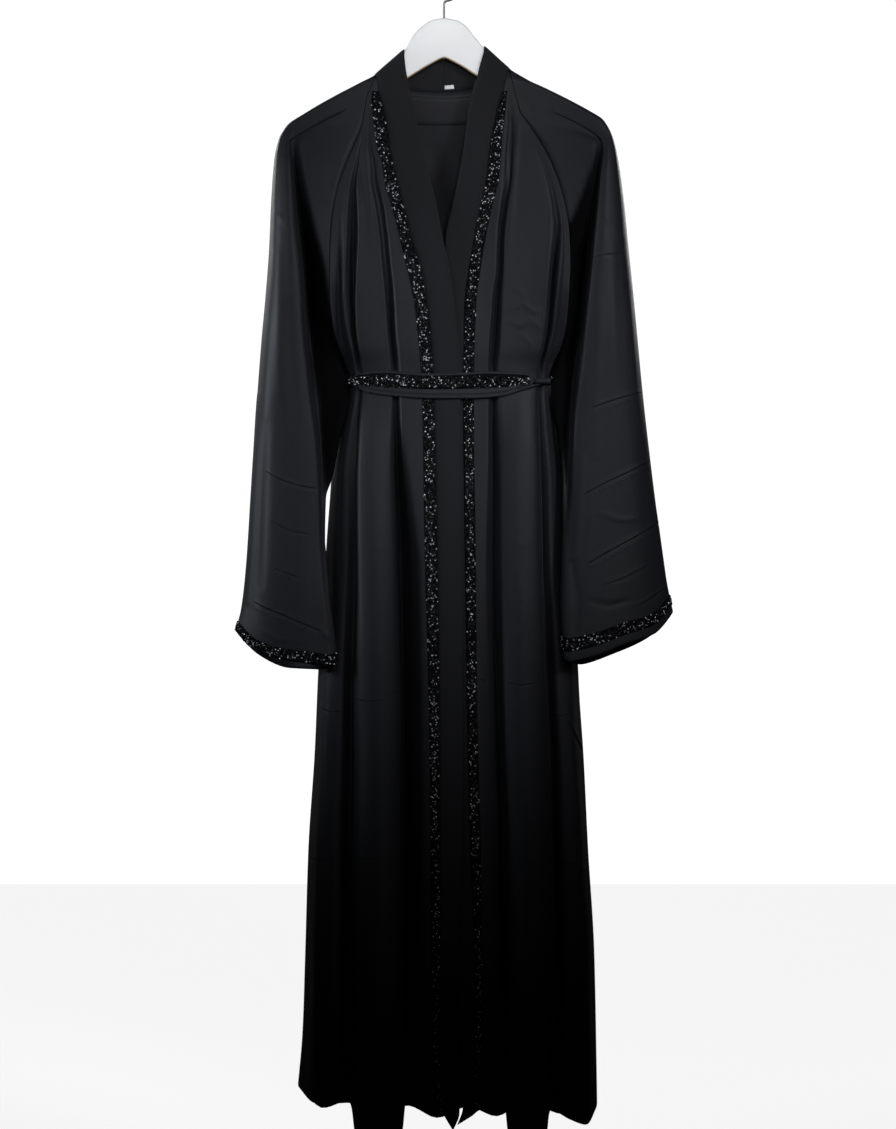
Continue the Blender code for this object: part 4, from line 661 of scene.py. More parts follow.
# like creases on the hidden side of each sleeve
backCreases = {
    "sleeve_left": [
        {"path": [(270, 300), (290, 309), (312, 312)], "width": 2.6, "height": 0.9, "kind": "step"},
        {"path": [(264, 452), (286, 464), (312, 470)], "width": 2.6, "height": 1.2, "kind": "step"},
        {"path": [(256, 560), (280, 573), (308, 580)], "width": 2.6, "height": 1.3, "kind": "step"},
        {"path": [(300, 180), (296, 260), (292, 350)], "width": 6.5, "height": 1.0, "kind": "ridge"},
        {"path": [(276, 400), (272, 490), (268, 590)], "width": 5.0, "height": 1.2, "kind": "groove"},
    ],
    "sleeve_right": [
        {"path": [(588, 330), (608, 322), (630, 318)], "width": 2.6, "height": 0.9, "kind": "step"},
        {"path": [(584, 470), (610, 458), (642, 446)], "width": 2.6, "height": 1.2, "kind": "step"},
        {"path": [(590, 590), (618, 578), (652, 560)], "width": 2.6, "height": 1.3, "kind": "step"},
        {"path": [(596, 180), (602, 260), (608, 350)], "width": 6.5, "height": 1.0, "kind": "ridge"},
        {"path": [(628, 400), (636, 490), (644, 580)], "width": 5.0, "height": 1.2, "kind": "groove"},
    ],
}
# soft unevenness of hanging satin: waves a metre across and down, phase, height in mm
ripples = [(38, 9, 0.3, 0.34), (-27, 16, 1.9, 0.30), (61, -7, 4.1, 0.22), (15, 24, 2.7, 0.26),
           (84, 12, 5.2, 0.12)]


def nearestOnPath(points, knots):
    across, down = points[..., 0] / grid, -points[..., 2] / grid
    path = np.array(knots, float) - [hookColumn, -crownDrop / grid]
    lengths = np.linalg.norm(np.diff(path, axis=0), axis=1)
    starts = np.concatenate([[0.0], np.cumsum(lengths)])
    best = np.full(across.shape, 1e9)
    side, run = np.zeros(across.shape), np.zeros(across.shape)
    for k in range(len(lengths)):
        dx, dy = (path[k + 1] - path[k]) / lengths[k]
        px, py = across - path[k, 0], down - path[k, 1]
        t = np.clip(px * dx + py * dy, 0, lengths[k])
        away = np.hypot(px - t * dx, py - t * dy)
        closer = away < best
        best = np.where(closer, away, best)
        side = np.where(closer, np.sign(px * dy - py * dx), side)
        run = np.where(closer, (starts[k] + t) / starts[-1], run)
    return best, side, np.sin(np.pi * np.clip(run, 0.0, 1.0))


def creaseHeight(points, crease):
    best, side, middle = nearestOnPath(points, crease["path"])
    thin = 0.62 if crease["kind"] == "step" else 1.0
    u = best * grid * 1e3 / (crease["width"] * thin)
    fade = middle ** 0.35
    if crease["kind"] == "ridge":
        shape = np.exp(-u**2)
    elif crease["kind"] == "groove":
        shape = -np.exp(-u**2)
    else:
        shape = side * u * np.exp(-u**2) * 1.6
    return shape * fade * crease["height"] * 1e-3


# signed distance to the nearest step crease and its strength: the satin bumps along them and paints a thin line of
# shade on them
def creaseLines(name, points, front):
    away = np.full(points.shape[:2], 20.0)
    strong = np.zeros(points.shape[:2])
    for table, shown in ((creases, True), (backCreases, False)):
        for crease in table.get(name, []):
            if crease["kind"] != "step":
                continue
            signed, fade = creasePath(points, crease["path"])
            signed = signed * grid * 1e3
            power = fade * crease["height"] * np.clip((9.0 - np.abs(signed)) / 3.0, 0, 1)
            if "sleeve" in name:
                power = np.where(front == shown, power, 0.0)
            closer = (power > 0) & (np.abs(signed) < np.abs(away))
            away = np.where(closer, signed, away)
            strong = np.where(closer, power, strong)
    return np.clip(away, -9.0, 9.0), strong


def creasePath(points, knots):
    best, side, middle = nearestOnPath(points, knots)
    return best * side, middle ** 0.2


# Areas of painted shade, painted dull black to match the photo and not real shadow: edges by row, softness across,
# the rows over which they start and end
paintedShadeZones = {
    "sleeve_left": {"from": [(138, 289), (175, 296), (212, 297), (277, 300), (331, 304), (366, 306), (405, 313),
                             (455, 317), (500, 321), (700, 322)],
                    "to": [(138, 292), (150, 295), (182, 305), (200, 310), (225, 317), (250, 324), (269, 329),
                           (300, 334), (345, 346), (366, 354), (400, 357), (440, 350), (500, 338), (700, 338)],
                    "soft": (10, 7), "rows": (132, 158, 500, 540), "amount": 0.96},
    "sleeve_right": {"from": [(138, 594), (167, 587), (191, 579), (208, 572), (223, 566), (240, 548),
                              (700, 540)],
                     "to": [(138, 603), (175, 600), (226, 595), (277, 590), (328, 585), (366, 581), (405, 577),
                            (455, 570), (500, 564), (520, 561), (700, 560)],
                     "soft": (7, 10), "rows": (132, 158, 500, 540), "amount": 0.96},
    "front_left": {"from": [(386, 391), (450, 392), (560, 394), (700, 398), (1100, 400)],
                   "to": [(386, 400), (450, 410), (560, 424), (1100, 430)],
                   "soft": (4, 7), "rows": (395, 470, 900, 1100), "amount": 0.72},
}


# painted shade: how much of the dull black paint each point gets
def paintedShadeShare(name, points, front):
    if name not in paintedShadeZones:
        return np.zeros(points.shape[:2])
    zone = paintedShadeZones[name]
    across = points[..., 0] / grid + hookColumn
    row = -points[..., 2] / grid - crownDrop / grid
    low = np.interp(row, *np.array(zone["from"], float).T)
    high = np.interp(row, *np.array(zone["to"], float).T)
    share = np.clip((across - low) / zone["soft"][0], 0, 1) * np.clip((high - across) / zone["soft"][1], 0, 1)
    a, b, c, d = zone["rows"]
    share = share * np.clip((row - a) / (b - a), 0, 1) * np.clip((d - row) / (d - c), 0, 1)
    share = share * share * (3 - 2 * share) * zone["amount"]
    return np.where(front, share, 0.0) if "sleeve" in name else share


def softRipple(points):
    total = np.zeros(points.shape[:2])
    for across, down, phase, height in ripples:
        total += height * np.sin(across * points[..., 0] + down * points[..., 2] + phase)
    return total * 1e-3


def crumple(name, piece):
    points, normal = piece["points"], piece["normal"]
    calm = np.clip(edgeDistance(points, piece["sewn"]) / 9e-3, 0, 1)
    amount = softRipple(points)
    front = np.broadcast_to(np.arange(points.shape[1])[None, :] < 7 * fine["sleeve"], points.shape[:2])
    for crease in creases.get(name, []):
        height = creaseHeight(points, crease) * (1.5 if "sleeve" in name else 1.0)
        amount += np.where(front, height, 0.0) if "sleeve" in name else height
    for crease in backCreases.get(name, []):
        amount += np.where(front, 0.0, creaseHeight(points, crease))
    piece["away"], piece["strong"] = creaseLines(name, points, front)
    # painted shade share, kept under the name deep
    piece["deep"] = paintedShadeShare(name, points, front)
    piece["points"] = points + normal * (amount * calm)[..., None]


def shellMesh(name, outer, inner, uv=True):
    rows, columns = outer.shape[:2]
    count = rows * columns
    vertices = np.concatenate([outer.reshape(-1, 3), inner.reshape(-1, 3)])
    index = np.arange(count).reshape(rows, columns)
    a, b, c, d = index[:-1, :-1], index[:-1, 1:], index[1:, 1:], index[1:, :-1]
    faces = [np.stack([a, b, c, d], -1).reshape(-1, 4), np.stack([a, d, c, b], -1).reshape(-1, 4) + count]
    rim = np.concatenate([index[0, :-1], index[:-1, -1], index[-1, :0:-1], index[:0:-1, 0]])
    after = np.roll(rim, -1)
    faces.append(np.stack([after, rim, rim + count, after + count], -1))
    faces = np.concatenate(faces)
    mesh = bpy.data.meshes.new(name)
    mesh.from_pydata(vertices, [], faces.tolist())
    mesh.update()
    corner = np.array([vertices[f[0]] @ np.cross(vertices[f[1]], vertices[f[2]])
                       + vertices[f[0]] @ np.cross(vertices[f[2]], vertices[f[3]]) for f in faces])
    if corner.sum() < 0:
        mesh.flip_normals()
    mesh.shade_smooth()
    thing = bpy.data.objects.new(name, mesh)
    bpy.context.collection.objects.link(thing)
    if uv:
        along1 = np.linalg.norm(np.diff(outer, axis=1), axis=2).mean(axis=0)
        down1 = np.linalg.norm(np.diff(outer, axis=0), axis=2).mean(axis=1)
        u = np.concatenate([[0.0], np.cumsum(along1)])
        v = np.concatenate([[0.0], np.cumsum(down1)])
        flat = np.stack(np.broadcast_arrays(u[None, :], v[:, None]), -1).reshape(-1, 2)
        flat = np.concatenate([flat, flat])
        layer = mesh.uv_layers.new(name="cut")
        loops = np.zeros(len(mesh.loops), int)
        mesh.loops.foreach_get("vertex_index", loops)
        layer.data.foreach_set("uv", flat[loops].ravel())
    return thing


def shell(name, piece, thick):
    points, normal = piece["points"], piece["normal"]
    seamNear = np.clip(edgeDistance(points, piece["sewn"]) / cloth["grooveWidth"], 0, 1)
    every = {"firstRow", "lastRow", "firstColumn", "lastColumn"}
    freeNear = np.clip(edgeDistance(points, every - set(piece["sewn"])) / 1.6e-3, 0, 1)
    fall = cloth["groove"] * (1 - seamNear) ** 2
    half = thick / 2 * (0.35 + 0.65 * np.sqrt(freeNear))
    middle = points - normal * fall[..., None]
    made = shellMesh(name, middle + normal * half[..., None], middle - normal * half[..., None])
    # distance to the sewn edges, for the painted shade along the seams
    seamed = np.maximum(6.0 - edgeDistance(points, piece["sewn"]) * 1e3, 0.0)
    nothing = np.zeros(points.shape[:2])
    # the crease, fold, deep and sewn values feed the satin's bumps and its painted shade
    for label, values in (("crease", piece.get("away", nothing)), ("fold", piece.get("strong", nothing)),
                          ("deep", piece.get("deep", nothing)), ("sewn", seamed)):
        layer = made.data.attributes.new(label, "FLOAT", "POINT")
        layer.data.foreach_set("value", np.tile(values.ravel(), 2).astype(np.float32))
    return made


def gridPiece(points, sign, sewn):
    return {"points": points, "normal": facing(points, sign), "sewn": sewn}


def columnsOf(count, steps):
    return np.linspace(0, count, count * steps + 1)


def buildCloth():
    back = backMiddle(fine["back"])
    pieces = {"back_panel": gridPiece(back, 1, ["firstRow", "firstColumn", "lastColumn"])}
    for side in ("left", "right"):
        sign = 1 if side == "left" else -1
        front = frontMiddle(side, panelRows(side), columnsOf(10, fine["front"]))
        pieces["front_" + side] = gridPiece(front, sign, ["firstColumn", "lastColumn", "firstRow"])
        low = finer([underarm] + sleeveLow[side], fine["rowStep"])[1:]
        columns = columnsOf(11, fine["sleeve"])
        rings = sleeveMiddle(side, np.array(armRows + low), columns)
        top = neckArc(side, columns / 11)[None]
        pieces["sleeve_" + side] = gridPiece(np.concatenate([top, rings]), sign,
                                             ["firstColumn", "lastColumn", "firstRow"])
        pieces["neck_band_" + side] = gridPiece(bandMiddle(side, back, fine["band"]), sign,
                                                ["firstColumn", "lastRow"])
    shareNormals(pieces)
    for name, piece in pieces.items():
        crumple(name, piece)
        piece["normal"] = smoothNormals(piece)
    shareNormals(pieces)
    return pieces


def smoothNormals(piece):
    fresh = facing(piece["points"], 1)
    agree = np.sign((fresh * piece["normal"]).sum(axis=2, keepdims=True))
    return fresh * np.where(agree == 0, 1, agree)


def sample(piece, i, j):
    points, normal = piece["points"], piece["normal"]
    i = np.clip(i, 0, points.shape[0] - 1.001)
    j = np.clip(j, 0, points.shape[1] - 1.001)
    i0, j0 = i.astype(int), j.astype(int)
    fi, fj = (i - i0)[..., None], (j - j0)[..., None]

    def mix(values):
        low = values[i0, j0] * (1 - fj) + values[i0, j0 + 1] * fj
        high = values[i0 + 1, j0] * (1 - fj) + values[i0 + 1, j0 + 1] * fj
        return low * (1 - fi) + high * fi

    n = mix(normal)
    return mix(points), n / np.maximum(np.linalg.norm(n, axis=-1, keepdims=True), 1e-12)


def rosettes(centre, width, rng):
    places = []
    run = 0.0
    while run < centre:
        radius = max(3.2e-3, width(run) / 2 - beadLook["size"])
        middle = run + radius
        drift = rng.uniform(-0.5e-3, 0.5e-3)
        rings = max(1, int(round(radius / beadLook["pitch"])))
        places.append((middle, drift, 1.45))
        for ring in range(1, rings + 1):
            r = radius * ring / rings
            count = max(5, int(round(2 * math.pi * r / beadLook["pitch"])))
            turn = rng.uniform(0, math.pi)
            for k in range(count):
                angle = turn + 2 * math.pi * k / count
                jitter = rng.uniform(-0.22e-3, 0.22e-3, 2)
                size = rng.uniform(0.8, 1.12) * (1.15 if ring == rings and k % 3 == 0 else 1.0)
                places.append((middle + r * math.cos(angle) + jitter[0],
                               drift + r * math.sin(angle) + jitter[1], size))
        for side in (-1, 1):
            places.append((run, side * radius * 0.55, 1.0))
            places.append((run + 0.3e-3, side * radius * 0.12, 0.9))
        run += 2 * radius * 0.94
    return [p for p in places if 0.6e-3 < p[0] < centre - 0.6e-3]


# painted glints: a few beads, more in clusters, get a value near 1 and the rest a lower value
def paintedGlints(points):
    rng = np.random.default_rng(len(points))
    dim = rng.uniform(0.0, 0.86, len(points))
    wave = np.sin(points[:, 2] * 390 + 3 * np.sin(points[:, 0] * 310)) * np.sin(points[:, 0] * 520 + points[:, 2] * 170)
    share = beadLook["bright"] + beadLook["clusters"] * np.maximum(0.0, wave) ** 1.5
    return np.where(rng.uniform(0, 1, len(points)) < share, rng.uniform(0.90, 1.0, len(points)), dim)


def pointCloud(name, points, normals, sizes):
    mesh = bpy.data.meshes.new(name)
    mesh.from_pydata(np.asarray(points), [], [])
    size = mesh.attributes.new("beadSize", "FLOAT", "POINT")
    size.data.foreach_set("value", np.asarray(sizes, np.float32))
    way = mesh.attributes.new("outward", "FLOAT_VECTOR", "POINT")
    way.data.foreach_set("vector", np.asarray(normals, np.float32).ravel())
    paintedGlint = mesh.attributes.new("paintedGlint", "FLOAT", "POINT")
    paintedGlint.data.foreach_set("value", paintedGlints(np.asarray(points)).astype(np.float32))
    thing = bpy.data.objects.new(name, mesh)
    bpy.context.collection.objects.link(thing)
    return thing


def beadGroup():
    group = bpy.data.node_groups.new("beads on points", "GeometryNodeTree")
    socket = group.interface.new_socket
    socket("Points", in_out="INPUT", socket_type="NodeSocketGeometry")
    socket("Bead radius", in_out="INPUT", socket_type="NodeSocketFloat")
    socket("Seed", in_out="INPUT", socket_type="NodeSocketInt")
    socket("Material", in_out="INPUT", socket_type="NodeSocketMaterial")
    socket("Beads", in_out="OUTPUT", socket_type="NodeSocketGeometry")
    nodes, links = group.nodes, group.links
    start = nodes.new("NodeGroupInput")
    end = nodes.new("NodeGroupOutput")
    ball = nodes.new("GeometryNodeMeshIcoSphere")
    ball.inputs["Subdivisions"].default_value = 1
    links.new(start.outputs["Bead radius"], ball.inputs["Radius"])
    turn = nodes.new("FunctionNodeRandomValue")
    turn.data_type = "FLOAT_VECTOR"
    turn.inputs[1].default_value = (math.tau, math.tau, math.tau)
    links.new(start.outputs["Seed"], turn.inputs["Seed"])
    size = nodes.new("GeometryNodeInputNamedAttribute")
    size.data_type = "FLOAT"
    size.inputs["Name"].default_value = "beadSize"
    put = nodes.new("GeometryNodeInstanceOnPoints")
    links.new(start.outputs["Points"], put.inputs["Points"])
    links.new(ball.outputs["Mesh"], put.inputs["Instance"])
    links.new(turn.outputs[0], put.inputs["Rotation"])
    links.new(size.outputs["Attribute"], put.inputs["Scale"])
    real = nodes.new("GeometryNodeRealizeInstances")
    links.new(put.outputs["Instances"], real.inputs["Geometry"])
    paint = nodes.new("GeometryNodeSetMaterial")
    links.new(real.outputs["Geometry"], paint.inputs["Geometry"])
    links.new(start.outputs["Material"], paint.inputs["Material"])
    links.new(paint.outputs["Geometry"], end.inputs["Beads"])
    return group


def beadStrip(name, group, look, points, normals, sizes):
    cloud = pointCloud(name + " places", points, normals, sizes)
    modifier = cloud.modifiers.new("beads", "NODES")
    modifier.node_group = group
    ids = {item.name: item.identifier for item in group.interface.items_tree if item.item_type == "SOCKET"}
    modifier[ids["Bead radius"]] = beadLook["size"]
    modifier[ids["Seed"]] = beadLook["seed"]
    modifier[ids["Material"]] = look
    cloud.update_tag()
    bpy.context.view_layer.update()
    made = bpy.data.meshes.new_from_object(cloud.evaluated_get(bpy.context.evaluated_depsgraph_get()))
    made.name = name
    bpy.data.objects.remove(cloud, do_unlink=True)
    thing = bpy.data.objects.new(name, made)
    bpy.context.collection.objects.link(thing)
    if not made.materials:
        made.materials.append(look)
    made.shade_flat()
    return thing


def stripOver(piece, name, rows, columns, lift, thick):
    i, j = np.meshgrid(rows, columns, indexing="ij")
    points, normal = sample(piece, i, j)
    return shellMesh(name, points + normal * (lift + thick), points + normal * lift)


def rowLengths(piece, column):
    line = piece["points"][:, int(round(column))]
    return np.concatenate([[0.0], np.cumsum(np.linalg.norm(np.diff(line, axis=0), axis=1))])


def trimBeads(piece, rows, columns, rng, lift):
    middle = (columns[0] + columns[1]) / 2
    run = rowLengths(piece, middle)
    start = np.interp(rows[0], np.arange(len(run)), run)
    total = np.interp(rows[1], np.arange(len(run)), run) - start

    def rowAt(place2):
        return np.interp(place2 + start, run, np.arange(len(run)))

    def width(place2):
        row = np.array([rowAt(place2)])
        a, _ = sample(piece, row, np.array([float(columns[0])]))
        b, _ = sample(piece, row, np.array([float(columns[1])]))
        return float(np.linalg.norm(a - b))

    spots = rosettes(total, width, rng)
    down = np.array([p[0] for p in spots])
    side = np.array([p[1] for p in spots])
    sizes = np.array([p[2] for p in spots])
    row = rowAt(down)
    wide = np.array([width(p) for p in down])
    column = middle + side / wide * (columns[1] - columns[0])
    points, normal = sample(piece, row, column)
    return points + normal * (lift + beadLook["size"] * 0.55 * sizes[:, None]), normal, sizes


def cuffBeads(piece, rows, rng, lift):
    i0, i1 = rows
    middle = (i0 + i1) / 2
    columns = np.arange(piece["points"].shape[1], dtype=float)
    line, _ = sample(piece, np.full(len(columns), middle), columns)
    run = np.concatenate([[0.0], np.cumsum(np.linalg.norm(np.diff(line, axis=0), axis=1))])
    heights = np.linalg.norm(sample(piece, np.full(len(columns), float(i0)), columns)[0]
                             - sample(piece, np.full(len(columns), float(i1)), columns)[0], axis=1)
    spots = rosettes(run[-1], lambda p: float(np.interp(p, run, heights)), rng)
    round1 = np.array([p[0] for p in spots])
    side = np.array([p[1] for p in spots])
    sizes = np.array([p[2] for p in spots])
    column = np.interp(round1, run, columns)
    row = middle + side / np.interp(round1, run, heights) * (i1 - i0)
    points, normal = sample(piece, row, column)
    return points + normal * (lift + beadLook["size"] * 0.55 * sizes[:, None]), normal, sizes


def supportRing(cloud, margin, step):
    angles = np.radians(np.arange(-180, 180, step))
    ways = np.stack([np.cos(angles), np.sin(angles)], 1)
    reach = (cloud @ ways.T).max(axis=0) + margin
    corners = []
    for k in range(len(ways)):
        n = (k + 1) % len(ways)
        corners.append(np.linalg.solve(np.array([ways[k], ways[n]]), np.array([reach[k], reach[n]])))
    return np.array(corners)


def cloudRound(pieces, rows):
    top, low = -(crownDrop + rows[0] * grid), -(crownDrop + rows[1] * grid)
    flat = []
    for name in ("back_panel", "front_left", "front_right", "neck_band_left", "neck_band_right"):
        points = (pieces[name]["points"] + pieces[name]["normal"] * 0.9e-3).reshape(-1, 3)
        keep = points[(points[:, 2] <= top) & (points[:, 2] >= low)]
        flat.append(keep[:, :2])
    for name in ("front_left", "front_right"):
        count = fine["front"]
        points = (pieces[name]["points"] + pieces[name]["normal"] * 3.3e-3)[:, :count + 1].reshape(-1, 3)
        flat.append(points[(points[:, 2] <= top) & (points[:, 2] >= low)][:, :2])
    return np.concatenate(flat)


def evenPath(path, longest):
    path = np.asarray(path)
    run = np.concatenate([[0.0], np.cumsum(np.linalg.norm(np.diff(path, axis=0), axis=1))])
    count = max(2, math.ceil(run[-1] / longest))
    spots = np.linspace(0, run[-1], count + 1)
    made = np.stack([np.interp(spots, run, path[:, k]) for k in range(path.shape[1])], 1)
    for _ in range(3):
        made[1:-1] = (made[:-2] + 2 * made[1:-1] + made[2:]) / 4
    return made


def ribbonGrid(path, tops, lows, steps):
    tangent = np.gradient(path, axis=0)
    tangent /= np.linalg.norm(tangent, axis=1, keepdims=True)
    flat = np.stack([tangent[:, 1], -tangent[:, 0]], axis=1)
    share = np.linspace(0, 1, steps + 1)[:, None]
    rows = tops[None] * (1 - share) + lows[None] * share
    z = -(crownDrop + rows * grid)
    points = np.stack([np.broadcast_to(path[None, :, 0], z.shape),
                       np.broadcast_to(path[None, :, 1], z.shape), z], -1)
    normal = np.zeros_like(points)
    normal[..., :2] = flat[None]
    return points, normal, np.broadcast_to(share, z.shape)


def tubeMesh(name, path, radii, sides, flatten=1.0):
    path = np.asarray(path, float)
    tangent = np.gradient(path, axis=0)
    tangent /= np.linalg.norm(tangent, axis=1, keepdims=True)
    first = np.cross(tangent, [0.0, 1.0, 0.0])
    first /= np.maximum(np.linalg.norm(first, axis=1, keepdims=True), 1e-9)
    second = np.cross(first, tangent)
    angles = np.arange(sides) * 2 * np.pi / sides
    rings = path[:, None] + radii[:, None, None] * (np.cos(angles)[None, :, None] * first[:, None]
                                                    + flatten * np.sin(angles)[None, :, None] * second[:, None])
    vertices = rings.reshape(-1, 3)
    faces = []
    for k in range(len(path) - 1):
        for n in range(sides):
            m = (n + 1) % sides
            faces.append((k * sides + n, k * sides + m, (k + 1) * sides + m, (k + 1) * sides + n))
    faces.append(tuple(range(sides))[::-1])
    faces.append(tuple((len(path) - 1) * sides + n for n in range(sides)))
    mesh = bpy.data.meshes.new(name)
    mesh.from_pydata(vertices, [], faces)
    mesh.update()
    volume = sum(vertices[f[0]] @ np.cross(vertices[f[i]], vertices[f[i + 1]]) for f in faces for i in range(1, len(f) - 1))
    if volume < 0:
        mesh.flip_normals()
    mesh.shade_smooth()
    thing = bpy.data.objects.new(name, mesh)
    bpy.context.collection.objects.link(thing)
    return thing


def joined(name, parts):
    keep = parts[0]
    with bpy.context.temp_override(active_object=keep, selected_editable_objects=parts, object=keep,
                                   selected_objects=parts):
        bpy.ops.object.join()
    keep.name = name
    keep.data.name = name
    return keep


belt = {"from": 350.6, "beadsTo": 529.5, "clothTo": 533.0, "to": 550.4, "strandRadius": 1.5e-3, "piping": 3.4}


def buildBelt(pieces, group, looks, rng):
    ring = supportRing(cloudRound(pieces, (368, 400)), cloth["seam"] + 0.8e-3, 3)
    front = ring[ring[:, 1] < 0.004]
    front = front[np.argsort(front[:, 0])]
    low, high = (belt["from"] - hookColumn) * grid, (belt["clothTo"] - hookColumn) * grid
    xs = np.linspace(low, high, 240)
    path = evenPath(np.stack([xs, np.interp(xs, front[:, 0], front[:, 1])], 1), 1.3e-3)
    steps = path[:, 0] / grid + hookColumn
    tops, lows = along(beltTop, steps), along(beltLow, steps)
    closing = np.clip((steps - 520) / (belt["clothTo"] - 520), 0, 1)
    tops = tops + closing**2 * 2.5
    lows = lows - closing**2 * 1.0
    points, normal, share = ribbonGrid(path, tops, lows, 22)
    fromLow = (lows[None] - tops[None]) * (1 - share)
    relief = 0.55e-3 * np.exp(-((fromLow - 1.0) / 1.0) ** 2) - 0.5e-3 * np.exp(-((fromLow - belt["piping"]) / 0.55) ** 2)
    relief += 0.35e-3 * np.exp(-((fromLow - 5.6) / 1.3) ** 2)
    fromTop = (lows[None] - tops[None]) * share
    relief += 0.4e-3 * np.exp(-((fromTop - 0.9) / 0.8) ** 2)
    wave = 0.25e-3 * np.sin(path[:, 0] * 210 + 1.0)[None] * share + 0.18e-3 * np.sin(path[:, 0] * 97)[None]
    piece = {"points": points + normal * (relief + wave)[..., None], "normal": normal, "sewn": set()}
    piece["normal"] = smoothNormals(piece)
    strip = shell("belt_cloth", piece, cloth["belt"])
    strands = []
    for name, spots in (("upper", [(524, 381.6), (532, 381.9), (540, 380.4), (547.5, 379.6)]),
                        ("lower", [(517, 390.0), (526, 388.2), (538, 385.6), (550.6, 382.9)])):
        across = np.linspace(spots[0][0], spots[-1][0], 40)
        x = (across - hookColumn) * grid
        y = np.interp(x, front[:, 0], front[:, 1]) - (0.4e-3 if name == "upper" else 0.8e-3)
        z = -(crownDrop + along(spots, across) * grid)
        radii = np.full(len(x), belt["strandRadius"]) * np.minimum(1.0, np.linspace(0.5, 5.0, len(x)))
        strands.append(tubeMesh("belt_strand_" + name, np.stack([x, y, z], 1), radii, 12, 0.6))
    corner = [(350.4, 384.6), (356, 386.6), (363, 390.6), (370, 393.2)]
    across = np.linspace(corner[0][0], corner[-1][0], 24)
    x = (across - hookColumn) * grid
    y = np.interp(x, front[:, 0], front[:, 1]) - 0.9e-3
    strands.append(tubeMesh("belt_strand_left", np.stack([x, y,
                                                          -(crownDrop + along(corner, across) * grid)], 1),
                            np.full(24, 1.2e-3), 12, 0.6))
    whole = joined("belt_cloth", [strip] + strands)
    whole.data.materials.clear()
    whole.data.materials.append(looks["satin"])
    whole.data.polygons.foreach_set("material_index", np.zeros(len(whole.data.polygons), np.int32))
    beadTop, beadLow = along(beltTrimTop, steps), along(beltTrimLow, steps)
    last = int(np.searchsorted(steps, belt["beadsTo"]))
    shareTop = (beadTop - tops) / (lows - tops)
    shareLow = (beadLow - tops) / (lows - tops)
    run = np.concatenate([[0.0], np.cumsum(np.linalg.norm(np.diff(path, axis=0), axis=1))])
    heights = (beadLow - beadTop) * grid
    spots = rosettes(run[last], lambda p: float(np.interp(p, run, heights)), rng)
    round1 = np.array([p[0] for p in spots])
    sizes = np.array([p[2] for p in spots])
    column = np.interp(round1, run, np.arange(len(run)))
    middleShare = np.interp(round1, run, (shareTop + shareLow) / 2)
    row = (middleShare - np.array([p[1] for p in spots]) / np.interp(round1, run, (lows - tops) * grid)) * 22
    spot, way = sample(piece, row, column)
    lift = cloth["belt"] / 2 + 0.5e-3 + beadLook["size"] * 0.55 * sizes[:, None]
    extra = np.array([[(349.4 - hookColumn) * grid, path[0, 1] - 1.5e-3, -(crownDrop + 380.2 * grid)],
                      [(353.4 - hookColumn) * grid, path[0, 1] - 2.6e-3, -(crownDrop + 379.4 * grid)]])
    beads = beadStrip("belt_beads", group, looks["beads"], np.concatenate([spot + way * lift, extra]),
                      np.concatenate([way, way[:2]]), np.concatenate([sizes, [1.1, 1.2]]))
    rows2 = np.linspace(float(shareTop[len(steps) // 2]) * 22, float(shareLow[len(steps) // 2]) * 22, 5)
    base = stripOver(piece, "belt_bead_base", rows2, np.arange(3, last), cloth["belt"] / 2 + 0.15e-3, 0.5e-3)
    return whole, beads, base, path, front


def buildTie(pieces, beltPath):
    ring = supportRing(cloudRound(pieces, (374, 392)), cloth["seam"] + 0.9e-3, 4)
    left = beltPath[0] - np.array([0.9e-3, 0.0])
    right = np.array([(belt["to"] - hookColumn) * grid, 0.0])
    right[1] = np.interp(right[0], beltPath[-30:, 0], beltPath[-30:, 1])
    start = int(np.argmin(np.linalg.norm(ring - left, axis=1)))
    order = [ring[(start - k) % len(ring)] for k in range(len(ring))]
    path = [left]
    for p in order:
        if (p[1] < left[1] + 1e-3 and p[0] < 0) or (p[1] < right[1] + 1e-3 and p[0] > 0):
            continue
        path.append(p)
    path.append(right)
    path = evenPath(path, 3e-3)
    count = len(path)
    points, normal, share = ribbonGrid(path, np.full(count, 379.4), np.full(count, 384.4), 6)
    wave = 0.3e-3 * np.sin(np.arange(count) * 0.21)[None] * np.ones_like(share)
    puff = 0.5e-3 * np.sin(np.pi * share)
    piece = {"points": points + normal * (wave + puff)[..., None], "normal": normal, "sewn": set()}
    return shell("belt_tie", piece, cloth["belt"]), path


def buildLoops(tiePath):
    made = []
    for name, sign in (("left", -1.0), ("right", 1.0)):
        ours = [k for k in range(2, len(tiePath) - 2) if sign * tiePath[k][0] > 0.09]
        here = tiePath[min(ours, key=lambda k: abs(tiePath[k][1] - 0.012))]
        away = [(-0.7, 375.6), (0.5, 376.2), (1.9, 377.8), (2.3, 380.2), (2.2, 384.0), (1.8, 386.0),
                (0.5, 387.4), (-0.7, 388.2)]
        x = here[0] + sign * np.array([a[0] for a in away]) * 1e-3
        z = -(crownDrop + np.array([a[1] for a in away]) * grid)
        path = evenPath(np.stack([x, np.full(len(away), here[1]), z], 1), 0.6e-3)
        twist = np.sin(np.arange(len(path)) * 1.3) * 0.16e-3
        made.append(tubeMesh("thread_loop_" + name, path, np.full(len(path), 0.85e-3) + twist, 10))
    return made


def woodOutline():
    points = np.array(woodTop + woodLow, float)
    return np.stack([(points[:, 0] - hookColumn) * grid, -(crownDrop + points[:, 1] * grid)], 1)


def rounded(outline, every):
    closed = np.concatenate([outline, outline[:1]])
    run = np.concatenate([[0.0], np.cumsum(np.linalg.norm(np.diff(closed, axis=0), axis=1))])
    count = int(run[-1] / every)
    spots = np.arange(count) * run[-1] / count
    made = np.stack([np.interp(spots, run, closed[:, k]) for k in (0, 1)], 1)
    for _ in range(4):
        made = (np.roll(made, 1, axis=0) + 2 * made + np.roll(made, -1, axis=0)) / 4
    return made


